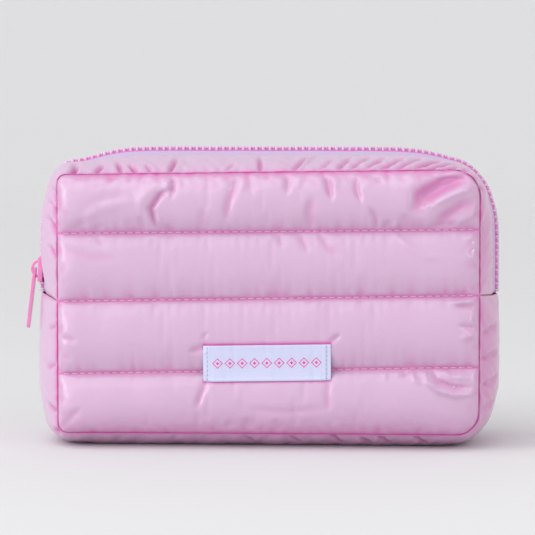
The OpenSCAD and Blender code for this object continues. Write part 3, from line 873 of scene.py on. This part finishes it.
def make_tape(name, side, seed):
    """A zip tape on one side of the chain, with the cord along its inner edge that holds the teeth."""

    def place(u, v):
        y = tape_outer + (tape_inner - 0.9 * mm - tape_outer) * v
        d = over_top.length * (0.002 + 0.996 * u)
        cord = max(0, 1 - abs(y - tape_inner - 0.3 * mm) / (1.2 * mm))
        ripple = noise.noise(Vector((d * 120, y * 80, seed))) * 0.15 * mm
        return gusset_skin(over_top, d, side * y, chain_inset + 0.1 * mm - 0.8 * mm * cord + ripple), (d, y)

    sheet = cloth_grid(round(over_top.length / (1.2 * mm)), 18, place)
    face_outwards(sheet)
    tape = new_piece(name, sheet, tape_cloth)
    # Painted shade: the cord band gets the full deeper pink, as the shade seen between the teeth.
    cord_edge = tape_inner + 1.7 * mm
    set_attribute(tape, "crease_shade", [1.0 if y < cord_edge else 0.0 for d, y in pattern_of(tape).values()])
    thicken(tape, 0.5 * mm)
    return tape


front_tape, back_tape = make_tape("front_zip_tape", -1, 1.0), make_tape("back_zip_tape", 1, 4.0)
print("tapes from y", round(tape_inner / mm, 1), "to", round(tape_outer / mm, 1), "mm")

# %% One moulded tooth
slider_low, slider_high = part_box("slider_body")
slider_z = (slider_low.z + slider_high.z) / 2
tooth_low, tooth_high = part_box("front_zip_teeth_right")
tooth_root, tooth_head = -tooth_low.y, tooth_high.y
tooth_pitch, tooth_width, tooth_height = 3.2 * mm, 1.35 * mm, tooth_high.x - tooth_low.x

one_tooth = bmesh.new()
bmesh.ops.create_cube(one_tooth, size=1)
bmesh.ops.scale(one_tooth, vec=(tooth_width, tooth_root + tooth_head, tooth_height), verts=one_tooth.verts)
bmesh.ops.translate(one_tooth, vec=(0, (tooth_root - tooth_head) / -2, 0), verts=one_tooth.verts)
neck = [e for e in one_tooth.edges if abs(e.verts[0].co.y - e.verts[1].co.y) > 1 * mm]
bmesh.ops.subdivide_edges(one_tooth, edges=neck, cuts=1)
for vert in one_tooth.verts:
    vert.co.x *= 1.2 if vert.co.y > 0 else (0.8 if vert.co.y > -2 * mm else 1.0)
bmesh.ops.bevel(one_tooth, geom=one_tooth.edges[:], offset=0.28 * mm, offset_type="OFFSET", segments=1,
                profile=0.5, affect="EDGES", material=-1)
tooth_mesh = bpy.data.meshes.new("tooth")
one_tooth.to_mesh(tooth_mesh)
one_tooth.free()
print("one tooth:", len(tooth_mesh.polygons), "faces")


# %% Rows of teeth along the chain
def chain_walk(pitch, phase):
    """Places along the chain, a pitch apart: the point, the outward direction and the seam distance."""
    places, walked, last = [], 0, None
    steps = round(over_top.length / (0.25 * mm))
    wanted = phase * pitch + 0.6 * mm
    for k in range(steps + 1):
        d = over_top.length * k / steps
        here = gusset_skin(over_top, d, 0, chain_inset)
        walked += (here - last).length if last else 0
        last = here
        if walked >= wanted:
            places.append((here, over_top.at(d)[1], d))
            wanted += pitch
    return places


def add_copies(sheet, mesh, matrices):
    """Adds a copy of a mesh to a bmesh at each matrix."""
    for matrix in matrices:
        before = len(sheet.verts)
        sheet.from_mesh(mesh)
        sheet.verts.ensure_lookup_table()
        bmesh.ops.transform(sheet, matrix=matrix, verts=sheet.verts[before:])


def make_teeth(name, side, phase):
    """A row of teeth on one side; below the slider it stands apart from the other row."""
    row = []
    for spot, out, d in chain_walk(tooth_pitch, phase):
        if d > over_top.length - 1.5 * mm:
            continue
        apart = min(1, max(0, (slider_z - 1 * mm - spot.z) / (4 * mm))) if spot.x < 0 else 0
        along = Vector((out.z, 0, -out.x))
        across = Vector((0, -side, 0))
        turned = Matrix((along, across, along.cross(across))).transposed().to_4x4()
        row.append(Matrix.Translation(spot + Vector((0, side * 1.7 * mm * apart, 0))) @ turned)
    sheet = bmesh.new()
    add_copies(sheet, tooth_mesh, row)
    bmesh.ops.recalc_face_normals(sheet, faces=sheet.faces[:])
    print(name, len(row), "teeth")
    return new_piece(name, sheet, tooth_plastic)


front_teeth, back_teeth = make_teeth("front_zip_teeth", -1, 0.25), make_teeth("back_zip_teeth", 1, 0.75)

# %% [markdown]
# ## The slider and its pull
#
# The slider's shape was settled in the engineering model: a body with two plates, a bridge over it,
# a lock spring and a pull that hangs from the bridge. Cast metal has no sharp edges, so each part is
# copied, its loose triangles are joined, and its edges are bevelled. The pull gets thick pink enamel.

# %% Enamel and steel
enamel, enamel_tree, enamel_shader = new_material("pink_enamel", (0.86, 0.24, 0.55), 0.25)
enamel_place = add_node(enamel_tree, "ShaderNodeTexCoord")
enamel_flow = add_node(enamel_tree, "ShaderNodeTexNoise", Scale=260.0, Detail=2.0)
enamel_tree.links.new(enamel_place.outputs["Object"], enamel_flow.inputs["Vector"])
bump(enamel_tree, enamel_shader, enamel_flow.outputs["Fac"], 0.15, 0.1 * mm)
enamel_tint = mix_colours(enamel_tree, enamel_flow.outputs["Fac"], (0.90, 0.30, 0.60), (0.80, 0.18, 0.48))
enamel_tree.links.new(enamel_tint, enamel_shader.inputs["Base Color"])
enamel_shader.inputs["Coat Weight"].default_value = 0.8
enamel_shader.inputs["Coat Roughness"].default_value = 0.08

steel, steel_tree, steel_shader = new_material("spring_steel", (0.62, 0.60, 0.62), 0.3)
steel_place = add_node(steel_tree, "ShaderNodeTexCoord")
steel_lines = add_node(steel_tree, "ShaderNodeTexNoise", Scale=1200.0, Detail=2.0)
steel_tree.links.new(steel_place.outputs["Object"], steel_lines.inputs["Vector"])
bump(steel_tree, steel_shader, steel_lines.outputs["Fac"], 0.2, 0.03 * mm)
steel_shader.inputs["Metallic"].default_value = 1
print("made", enamel.name, "and", steel.name)


# %% Bevelled copies of the slider's parts
def bevelled_copy(name, node, body, material, width):
    """A copy of a model part with its edges rounded, riding where the part rides."""
    sheet = bmesh.new()
    sheet.from_mesh(nodes[node].data)
    bmesh.ops.remove_doubles(sheet, verts=sheet.verts[:], dist=0.01 * mm)
    bmesh.ops.dissolve_limit(sheet, angle_limit=math.radians(3), verts=sheet.verts[:], edges=sheet.edges[:])
    sharp = [e for e in sheet.edges if len(e.link_faces) == 2 and e.calc_face_angle(0) > math.radians(35)]
    bmesh.ops.bevel(sheet, geom=sharp, offset=width, offset_type="OFFSET", segments=2, profile=0.5,
                    affect="EDGES", material=-1, clamp_overlap=True)
    piece = new_piece(name, sheet, material)
    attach(piece, body)
    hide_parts(node)
    return piece


slider_body = bevelled_copy("slider_casting", "slider_body", "slider", enamel, 0.22 * mm)
slider_bridge = bevelled_copy("slider_arch", "slider_bridge", "slider", enamel, 0.2 * mm)
slider_pull = bevelled_copy("zip_pull", "slider_pull", "pull", enamel, 0.3 * mm)
lock_spring = bevelled_copy("lock_spring", "slider_lock_spring", "slider", steel, 0.06 * mm)
slider_pieces = (slider_body, slider_bridge, slider_pull, lock_spring)
print("slider pieces:", [len(piece.data.polygons) for piece in slider_pieces], "faces")

# %% [markdown]
# ## The label and the stitches
#
# The label is a short satin ribbon with its ends turned under, stitched down at both ends, so its
# long edges stand free. It bridges the quilting line. Its woven pattern here is a plain row of small
# diamonds. Each quilting stitch is a thread that arches out of one needle hole and into the next.

# %% Satin with a woven row of diamonds, and two threads
satin, satin_tree, satin_shader = new_material("label_satin", (0.70, 0.72, 0.92), 0.42)
satin_flat = add_node(satin_tree, "ShaderNodeUVMap", uv_map="flat")
satin_axes = add_node(satin_tree, "ShaderNodeSeparateXYZ")
satin_tree.links.new(satin_flat.outputs[0], satin_axes.inputs[0])


def math_node(tree, operation, first, second=None):
    """A Math node on outputs or numbers."""
    node = add_node(tree, "ShaderNodeMath", operation=operation)
    for socket, value in zip(node.inputs, (first, second)):
        if hasattr(value, "is_linked"):
            tree.links.new(value, socket)
        elif value is not None:
            socket.default_value = value
    return node.outputs[0]


diamond_half, diamond_rise = 2.9 * mm, 2.9 * mm
beside = math_node(satin_tree, "PINGPONG", satin_axes.outputs[0], diamond_half)
above = math_node(satin_tree, "ABSOLUTE", satin_axes.outputs[1])
ring = math_node(satin_tree, "ADD", math_node(satin_tree, "DIVIDE", beside, diamond_half),
                math_node(satin_tree, "DIVIDE", above, diamond_rise))
outline = math_node(satin_tree, "COMPARE", ring, 0.78)
outline.node.inputs[2].default_value = 0.1
centre_dot = math_node(satin_tree, "LESS_THAN", ring, 0.3)
from_middle = math_node(satin_tree, "ABSOLUTE", satin_axes.outputs[0])
within = math_node(satin_tree, "LESS_THAN", from_middle, 26.1 * mm)
motif = math_node(satin_tree, "MULTIPLY", math_node(satin_tree, "MAXIMUM", outline, centre_dot), within)
satin_threads = sine(satin_tree, satin_flat.outputs[0], 0.32 / (0.35 * mm), "Y")
# Painted shade: the satin is darker in the grooves between its threads, along the same waves as the bump.
thread_shaded_ground = mix_colours(satin_tree, satin_threads, (0.62, 0.65, 0.89), (0.70, 0.73, 0.94))
woven = mix_colours(satin_tree, motif, thread_shaded_ground, (0.80, 0.06, 0.36))
satin_tree.links.new(woven, satin_shader.inputs["Base Color"])
bump(satin_tree, satin_shader, satin_threads, 0.3, 0.05 * mm)
satin_shader.inputs["Sheen Weight"].default_value = 0.25


def twisted_thread(name, colour, scale):
    """Twisted polyester thread: slanting ridges, painted shade in the grooves between them, and a soft shine.
    """
    material, tree, shader = new_material(name, colour, 0.45)
    place = add_node(tree, "ShaderNodeTexCoord")
    turned = add_node(tree, "ShaderNodeMapping", Rotation=(0, math.radians(35), 0))
    tree.links.new(place.outputs["Object"], turned.inputs["Vector"])
    ply = sine(tree, turned.outputs[0], scale, "X")
    bump(tree, shader, ply, 0.5, 0.05 * mm)
    # Painted shade: the colour is darker in the grooves of the twist.
    groove_shade = tuple(c * 0.75 for c in colour)
    tree.links.new(mix_colours(tree, ply, groove_shade, colour), shader.inputs["Base Color"])
    shader.inputs["Sheen Weight"].default_value = 0.3
    return material


pink_thread = twisted_thread("quilting_thread", (0.90, 0.50, 0.75), 900.0)
label_thread = twisted_thread("label_thread", (0.52, 0.56, 0.74), 900.0)
print("made", satin.name, "and two threads")

# %% Looking for the cloth's surface
def surface_of(*pieces):
    """A search tree over the pieces' outer faces, for laying things on them."""
    sheet = bmesh.new()
    for piece in pieces:
        sheet.from_mesh(piece.data)
    tree = BVHTree.FromBMesh(sheet)
    sheet.free()
    return tree


front_surface, back_surface = surface_of(front_panel), surface_of(back_panel)
thicken(front_panel, cloth_thickness)
thicken(back_panel, cloth_thickness)


def panel_y(side, x, z):
    """Where the panel's outer surface is at this x and z."""
    tree = front_surface if side < 0 else back_surface
    hit = tree.ray_cast(Vector((x, side * 80 * mm, z)), Vector((0, -side, 0)))[0]
    return hit.y if hit else side * seam_y


crown = -panel_y(-1, 0, (fold_z + high_line) / 2)
print("the front's third channel stands out to", round(crown / mm, 1), "mm")

# %% The label
label_slope = 0.017


def label_place(u, v):
    """A point of the label: flat between the cloth it touches above and below, held down at the ends."""
    x = label_low.x + (label_high.x - label_low.x) * u
    rise = (label_high.z - label_low.z) * (v - 0.5)
    z = label_mid.z + rise + label_slope * x
    ends = [panel_y(-1, x, label_mid.z + label_slope * x + side * 7.5 * mm) for side in (-1, 1)]
    flat = ends[0] + (ends[1] - ends[0]) * v
    sewn = max(0, 1 - (label_high.x - abs(x)) / (5 * mm))
    lift = 0.55 * mm + 0.5 * mm * abs(2 * v - 1) ** 3 * (1 - sewn)
    lift += 0.35 * mm * noise.noise(Vector((x * 70, v * 2, 1))) * (1 - sewn)
    turned_under = label_high.x - abs(x)
    lift += 0.3 * mm * min(1, max(0, (3.4 * mm - turned_under) / (0.5 * mm)))
    lift -= 0.3 * mm * math.exp(-(((turned_under - 2 * mm) / (0.5 * mm)) ** 2))
    y = min(flat, panel_y(-1, x, z) + 0.15 * mm) - lift + 0.35 * mm * sewn
    return Vector((x, y, z)), (x, rise)


label_sheet = cloth_grid(150, 17, label_place)
face_outwards(label_sheet)
label = new_piece("label_ribbon", label_sheet, satin)
label_surface = surface_of(label)
thicken(label, 0.4 * mm)
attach(label, "root")
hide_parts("label")
print("label", [round(s / mm, 1) for s in label_high - label_low], "mm")

# %% One stitch, and rows of stitches
def one_stitch(length, thickness):
    """A thread bead from one needle hole to the next, along x."""
    sheet = bmesh.new()
    bmesh.ops.create_uvsphere(sheet, u_segments=6, v_segments=6, radius=0.5)
    bmesh.ops.rotate(sheet, matrix=Matrix.Rotation(math.radians(90), 3, "Y"), verts=sheet.verts)
    bmesh.ops.scale(sheet, vec=(length, thickness, thickness), verts=sheet.verts)
    mesh = bpy.data.meshes.new("stitch")
    sheet.to_mesh(mesh)
    sheet.free()
    return mesh


def lay_stitches(name, mesh, spots, material, turn=0):
    """Copies of a stitch at (point, slope) places."""
    sheet = bmesh.new()
    places = [Matrix.Translation(spot) @ Matrix.Rotation(turn - slope, 4, "Y") for spot, slope in spots]
    add_copies(sheet, mesh, places)
    return new_piece(name, sheet, material)


def quilting_row(side, line, count):
    """Places of the stitches on one quilting line of a panel."""
    spots = []
    for k in range(count):
        x = (k - (count - 1) / 2) * stitch_pitch
        if abs(x) > seam_x - 4 * mm:
            continue
        guess = Vector((x, side * groove_y, line))
        slope = dict(lean_at)[line] if side < 0 else 0
        z = line + lean(guess)
        hole = Vector((x, panel_y(side, x, z) + side * 0.22 * mm, z))
        spots.append((hole, slope + 0.02 * math.sin(k * 2.3)))
    return spots


quilting_stitch = one_stitch(3.0 * mm, 0.7 * mm)
quilting = {}
for side, word in ((-1, "front"), (1, "back")):
    for key, lines in (("lower", seams[1:3]), ("upper", seams[3:4])):
        spots = [spot for line in lines for spot in quilting_row(side, line, 53)]
        quilting[word, key] = lay_stitches(f"{word}_quilting_{key}_stitches", quilting_stitch, spots,
                                           pink_thread)
print("quilting stitches:", {k: len(q.data.polygons) // 36 for k, q in quilting.items()})

# %% The label's own stitches
label_spots = []
for side in (-1, 1):
    for k in range(8):
        x = side * (label_high.x - 2.0 * mm)
        z = label_mid.z + label_slope * x + (k - 3.5) * 2.1 * mm
        hit = label_surface.ray_cast(Vector((x, -80 * mm, z)), Vector((0, 1, 0)))[0]
        label_spots.append((hit + Vector((0, -0.05 * mm, 0)), 0))
label_stitches = lay_stitches("label_end_stitches", one_stitch(1.6 * mm, 0.5 * mm), label_spots,
                              label_thread, turn=math.radians(90))
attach(label_stitches, "root")
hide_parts("label_stitching")
print(len(label_spots), "label stitches")

# %% [markdown]
# ## The inside
#
# Behind the outer cloth lies a thin wadding, and behind that the lining. The raw seams inside are
# covered by a folded binding tape. None of it shows while the pouch is shut, but it all comes into
# view when the zip is undone and the panels are folded away, so each layer is made in its own place.
# Each pad starts a little way in from the seams and looks for the cloth above it in several places,
# then keeps below the lowest of them, so that it doesn't poke through a fold.

# %% Inside finishes
wadding_fibre, fibre_tree, fibre_shader = new_material("polyester_wadding", (0.86, 0.86, 0.85), 0.95)
fibre_place = add_node(fibre_tree, "ShaderNodeTexCoord")
fibre_noise = add_node(fibre_tree, "ShaderNodeTexNoise", Scale=700.0, Detail=5.0, Roughness=0.7)
fibre_tree.links.new(fibre_place.outputs["Object"], fibre_noise.inputs["Vector"])
bump(fibre_tree, fibre_shader, fibre_noise.outputs["Fac"], 0.6, 0.4 * mm)
fibre_tint = mix_colours(fibre_tree, fibre_noise.outputs["Fac"], (0.78, 0.78, 0.77), (0.9, 0.9, 0.89))
fibre_tree.links.new(fibre_tint, fibre_shader.inputs["Base Color"])
fibre_shader.inputs["Sheen Weight"].default_value = 0.5
# The last colour is the painted crease shade of lining and binding; their crease_shade attribute is 0
# everywhere, so it does not show.
lining_dye, binding_dye, inside_shade_colour = (0.74, 0.36, 0.60), (0.72, 0.32, 0.56), (0.5, 0.12, 0.34)
lining_cloth = woven_cloth("lining_taffeta", lining_dye, inside_shade_colour, 0.5, 0.1, 0.4 * mm, 0.05 * mm)
binding_cloth = woven_cloth("binding_ribbon", binding_dye, inside_shade_colour, 0.6, 0.0, 0.6 * mm, 0.1 * mm)
print("inside finishes:", wadding_fibre.name, lining_cloth.name, binding_cloth.name)


# %% Wadding of the panels, laid against the inside of the cloth
panel_pad_edge, gusset_pad_edge = 2.6 * mm, 2.5 * mm


def close_wadding(sheet, inner):
    """Makes a closed pad from an open sheet: inner gives the point behind each of its points."""
    behind = {vert: inner[vert.index] for vert in sheet.verts}
    copied = bmesh.ops.extrude_face_region(sheet, geom=sheet.faces[:], use_keep_orig=True)
    moved = [item for item in copied["geom"] if isinstance(item, bmesh.types.BMVert)]
    search = {tuple(round(c, 7) for c in vert.co): spot for vert, spot in behind.items()}
    for vert in moved:
        vert.co = search[tuple(round(c, 7) for c in vert.co)]
    bmesh.ops.recalc_face_normals(sheet, faces=sheet.faces[:])


def make_panel_wadding(name, side):
    """The panel's pad: full in the channels, pressed thin under the quilting lines."""
    rows = [sewn_lines[0] + panel_pad_edge]
    for below, above in zip(sewn_lines, sewn_lines[1:]):
        rows += graded(8, below, above)[1:]
    rows[-1] -= panel_pad_edge

    def place(u, v):
        z = rows[round(v * (len(rows) - 1))]
        left, right = panel_pad_edge - panel_reach(z, -1), panel_reach(z, 1) - panel_pad_edge
        x = left + (right - left) * u
        z += lean(Vector((x, side * groove_y, z)))
        steps = (-1 * mm, 0, 1 * mm)
        near = [abs(panel_y(side, x + dx, z + dz)) for dx in steps for dz in steps]
        y = max(seam_y + 0.5 * mm, min(near) - 0.7 * mm)
        return Vector((x, side * y, z)), (x, z)

    sheet = cloth_grid(66, len(rows) - 1, place)
    inner = {v.index: Vector((v.co.x, side * (seam_y + 0.3 * mm), v.co.z)) for v in sheet.verts}
    close_wadding(sheet, inner)
    return new_piece(name, sheet, wadding_fibre)


front_wadding = make_panel_wadding("front_wadding_pad", -1)
back_wadding = make_panel_wadding("back_wadding_pad", 1)
print("panel pads:", len(front_wadding.data.polygons), "faces each")


# %% Wadding of the gusset strips
def make_gusset_wadding(name, route, stations, shell):
    """A gusset strip's pad, just inside its cloth."""
    surface = surface_of(shell)

    def place(u, v):
        y = stations[round(v * (len(stations) - 1))]
        d = 1 * mm + (route.length - 2 * mm) * u
        deep, out = gusset_skin(route, d, y, 7 * mm), route.at(d)[1]
        if route.side < 0:
            deep.z = max(deep.z, 5 * mm)
        along, gaps = Vector((out.z, 0, -out.x)), []
        for step in (-1.5 * mm, -0.75 * mm, 0, 0.75 * mm, 1.5 * mm):
            for dy in (-1 * mm, 0, 1 * mm):
                hit = surface.ray_cast(deep + along * step + Vector((0, dy, 0)), out)
                gaps.append(hit[3] if hit[0] else 6 * mm)
        return deep + out * (min(gaps) - 0.9 * mm), (d, y)

    sheet = cloth_grid(round(route.length / (2 * mm)), len(stations) - 1, place)
    flat = sheet.loops.layers.uv["flat"]
    inner = {v.index: v.co - route.at(v.link_loops[0][flat].uv.x)[1] * 1.7 * mm for v in sheet.verts}
    close_wadding(sheet, inner)
    return new_piece(name, sheet, wadding_fibre)


pad_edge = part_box("back_zip_strip_wadding")[0].y
wide = graded(32, gusset_pad_edge - seam_y, seam_y - gusset_pad_edge)
narrow = graded(10, pad_edge, seam_y - gusset_pad_edge)
base_wadding = make_gusset_wadding("base_gusset_pad", under_bottom, wide, base_gusset)
front_strip_wadding = make_gusset_wadding("front_strip_pad", over_top, [-y for y in narrow], front_strip)
back_strip_wadding = make_gusset_wadding("back_strip_pad", over_top, narrow, back_strip)
for piece in (base_gusset, front_strip, back_strip):
    thicken(piece, cloth_thickness)
print("gusset pads:", [len(pad.data.polygons) for pad in (base_wadding, front_strip_wadding)], "faces")


# %% The lining
def lining_piece(name, sheet):
    """Turns an open sheet of lining into a piece with its material and its thickness."""
    face_outwards(sheet)
    piece = new_piece(name, sheet, lining_cloth)
    set_attribute(piece, "crease_shade", [0.0] * len(piece.data.vertices))
    thicken(piece, 0.3 * mm)
    return piece


def make_panel_lining(name, side):
    """The panel's lining: a flat sheet with soft wrinkles, sewn in at its edge."""
    rows = graded(42, sewn_lines[0] + 0.2 * mm, sewn_lines[-1] - 0.2 * mm)

    def place(u, v):
        z = rows[round(v * (len(rows) - 1))]
        left, right = 0.3 * mm - panel_reach(z, -1), panel_reach(z, 1) - 0.3 * mm
        x = left + (right - left) * u
        edge = rounded(min(x - left, right - x, z - rows[0], rows[-1] - z) / (6 * mm))
        soft = noise.noise(Vector((x * 60, z * 40, side * 7))) * 0.7 * mm
        y = seam_y - 0.9 * mm + edge * (1.1 * mm - abs(soft))
        spot = Vector((x, side * y, z))
        spot.z += lean(spot)
        return spot, (x, z)

    return lining_piece(name, cloth_grid(72, len(rows) - 1, place))


def make_gusset_lining(name, route, y_from, y_to, seed):
    """A gusset strip's lining, inside its pad."""

    def place(u, v):
        y = y_from + (y_to - y_from) * v
        d = 0.3 * mm + (route.length - 0.6 * mm) * u
        soft = abs(noise.noise(Vector((d * 90, y * 40, seed)))) * 0.7 * mm
        return gusset_skin(route, d, y, 3.4 * mm + soft), (d, y)

    rows = max(12, round((y_to - y_from) / (2 * mm)))
    return lining_piece(name, cloth_grid(round(route.length / (2 * mm)), rows, place))


front_lining = make_panel_lining("front_lining_cloth", -1)
back_lining = make_panel_lining("back_lining_cloth", 1)
lining_reach = seam_y - 0.4 * mm
base_lining = make_gusset_lining("base_gusset_lining_cloth", under_bottom, -lining_reach, lining_reach, 1)
front_strip_lining = make_gusset_lining("front_strip_lining_cloth", over_top, -lining_reach, -strip_edge_y, 2)
back_strip_lining = make_gusset_lining("back_strip_lining_cloth", over_top, strip_edge_y, lining_reach, 3)
print("linings made")

# %% The binding tape over the inside seams
binding_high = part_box("front_binding_upper")[1]
binding_edge, binding_inset = -binding_high.y, seam_x - binding_high.x
binding_profile = [(6.6, 0.2), (4, 0.1), (1, 0.1), (0.3, 0.4), (0, 0.9)]
binding_profile += [(0.3, 1.4), (1, 1.7), (4, 1.7), (6.6, 1.6)]


def make_binding(name, side):
    """A ribbon folded over the seam allowance, all the way round the panel."""
    share_top = over_top.length / (over_top.length + under_bottom.length)

    def place(u, v):
        reach, rise = binding_profile[round(v * (len(binding_profile) - 1))]
        y = side * (binding_edge + reach * mm)
        route, d = over_top, u / share_top * over_top.length
        if u > share_top:
            route, d = under_bottom, (1 - u) / (1 - share_top) * under_bottom.length
        spot, out = route.at(d)
        point = spot - out * (binding_inset + rise * mm)
        wave = noise.noise(Vector((point.x * 80, point.z * 80, side + reach))) * 0.2 * mm
        point += out * wave
        point.y = y
        return point, (u * (over_top.length + under_bottom.length), reach * mm)

    sheet = cloth_grid(360, len(binding_profile) - 1, place)
    bmesh.ops.remove_doubles(sheet, verts=sheet.verts[:], dist=0.05 * mm)
    piece = new_piece(name, sheet, binding_cloth)
    set_attribute(piece, "crease_shade", [0.0] * len(piece.data.vertices))
    wall = piece.modifiers.new("thickness", "SOLIDIFY")
    wall.thickness, wall.offset = 0.3 * mm, 0
    bake_modifiers(piece)
    return piece


front_binding, back_binding = make_binding("front_seam_binding", -1), make_binding("back_seam_binding", 1)
print("bindings made")

# %% [markdown]
# ## The pieces that cross the fold
#
# When the zip is undone, the upper half of each panel folds outwards at its middle quilting line. The
# cloth keeps its lower half still, and the band of the gusset below the open part of the zip twists a
# little. Here no piece is bent: each piece's placement is made part of its mesh, the lower quilting
# stitches and the base gusset's pieces ride on the root body, and the model parts they stand for are hidden.


def bend_with_flap(piece):
    """Makes the piece's placement part of its mesh; the piece is not bent."""
    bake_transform(piece)


for word, panel, strip, tape, teeth, lining, strip_lining, pad, strip_pad, binding in (
    ("front", front_panel, front_strip, front_tape, front_teeth, front_lining, front_strip_lining,
     front_wadding, front_strip_wadding, front_binding),
    ("back", back_panel, back_strip, back_tape, back_teeth, back_lining, back_strip_lining,
     back_wadding, back_strip_wadding, back_binding),
):
    for piece in (panel, strip, tape, teeth, lining, strip_lining, pad, strip_pad, binding,
                  quilting[word, "upper"]):
        bend_with_flap(piece)
    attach(quilting[word, "lower"], "root")
    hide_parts(f"{word}_panel_lower", f"{word}_panel_upper")
    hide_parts(f"{word}_zip_strip")
    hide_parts(f"{word}_lining_lower", f"{word}_lining_upper")
    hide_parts(f"{word}_zip_strip_lining")
    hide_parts(f"{word}_wadding_lower", f"{word}_wadding_upper")
    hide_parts(f"{word}_zip_strip_wadding")
    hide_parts(f"{word}_binding_lower", f"{word}_binding_upper")
    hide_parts(*[f"{word}_zip_tape_{part}" for part in ("left", "top", "right")])
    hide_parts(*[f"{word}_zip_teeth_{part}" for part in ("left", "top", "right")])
    for key in ("lower", "upper"):
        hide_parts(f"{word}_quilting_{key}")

for piece, node in ((base_gusset, "base_gusset"), (base_wadding, "base_gusset_wadding"),
                    (base_lining, "base_gusset_lining")):
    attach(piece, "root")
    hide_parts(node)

# %% [markdown]
# ## Floor, light and world
#
# A pale studio: one wide floor that curves up into a backdrop far behind, an even grey world, a very
# broad light from above that gives the gentle shade under each channel, a soft light on the left,
# and a thin upright light on the right that draws bright lines on the glossy folds.

# %% The floor
pale, pale_tree, pale_shader = new_material("pale_floor", (0.8, 0.8, 0.8), 0.8)
pale_place = add_node(pale_tree, "ShaderNodeTexCoord")
pale_axes = add_node(pale_tree, "ShaderNodeSeparateXYZ")
pale_tree.links.new(pale_place.outputs["Object"], pale_axes.inputs[0])
further = add_node(pale_tree, "ShaderNodeMapRange", From_Min=0.0, From_Max=0.4)
pale_tree.links.new(pale_axes.outputs[1], further.inputs["Value"])
higher = add_node(pale_tree, "ShaderNodeMapRange", From_Min=0.1, From_Max=0.8)
pale_tree.links.new(pale_axes.outputs[2], higher.inputs["Value"])
floor_tint = mix_colours(pale_tree, further.outputs[0], (0.745, 0.745, 0.745), (0.735, 0.735, 0.735))
floor_tint = mix_colours(pale_tree, higher.outputs[0], floor_tint, (0.82, 0.82, 0.82))
pale_tree.links.new(floor_tint, pale_shader.inputs["Base Color"])
cove_start, cove_radius, cove_steps = 2.2, 0.8, 16
floor_line = [(-8, 0)]
for k in range(cove_steps + 1):
    angle = math.pi / 2 * k / cove_steps
    floor_line.append((cove_start + cove_radius * math.sin(angle), cove_radius * (1 - math.cos(angle))))
floor_line.append((cove_start + cove_radius, 5))
floor_sheet = bmesh.new()
bmesh.ops.create_grid(floor_sheet, x_segments=1, y_segments=len(floor_line) - 1, size=0.5)
for vert in floor_sheet.verts:
    y, z = floor_line[round((vert.co.y + 0.5) * (len(floor_line) - 1))]
    vert.co = (vert.co.x * 24, y, z)
floor_mesh = bpy.data.meshes.new("floor")
floor_sheet.to_mesh(floor_mesh)
floor_sheet.free()
floor_mesh.shade_smooth()
floor_mesh.materials.append(pale)
floor = bpy.data.objects.new("floor", floor_mesh)
bpy.context.scene.collection.objects.link(floor)
print("floor and backdrop:", len(floor_mesh.polygons), "faces")


# %% The lights
def soft_light(name, place, towards, width, height, power):
    """A rectangular studio light aimed at a point."""
    data = bpy.data.lights.new(name, "AREA")
    data.shape, data.size, data.size_y = "RECTANGLE", width, height
    data.energy = power
    light = bpy.data.objects.new(name, data)
    bpy.context.scene.collection.objects.link(light)
    light.location = place
    light.rotation_euler = (Vector(towards) - Vector(place)).to_track_quat("-Z", "Y").to_euler()
    return light


middle = (0, 0, 80 * mm)
sun_data = bpy.data.lights.new("broad light from above", "SUN")
sun_data.energy, sun_data.angle = 1.0, math.radians(60)
sun = bpy.data.objects.new("broad light from above", sun_data)
bpy.context.scene.collection.objects.link(sun)
sun.rotation_euler = (math.radians(20), math.radians(-28), 0)
soft_light("left light", (-0.9, -0.6, 0.35), middle, 0.5, 0.6, 3.4)
soft_light("right strip", (0.62, -0.5, 0.42), middle, 0.01, 0.6, 0.9)
world = bpy.data.worlds.new("studio")
bpy.context.scene.world = world
world.use_nodes = True
world.node_tree.nodes["Background"].inputs["Color"].default_value = (0.80, 0.80, 0.82, 1)
world.node_tree.nodes["Background"].inputs["Strength"].default_value = 0.87
bpy.context.scene.view_settings.view_transform = "Standard"
print("lights and world set")
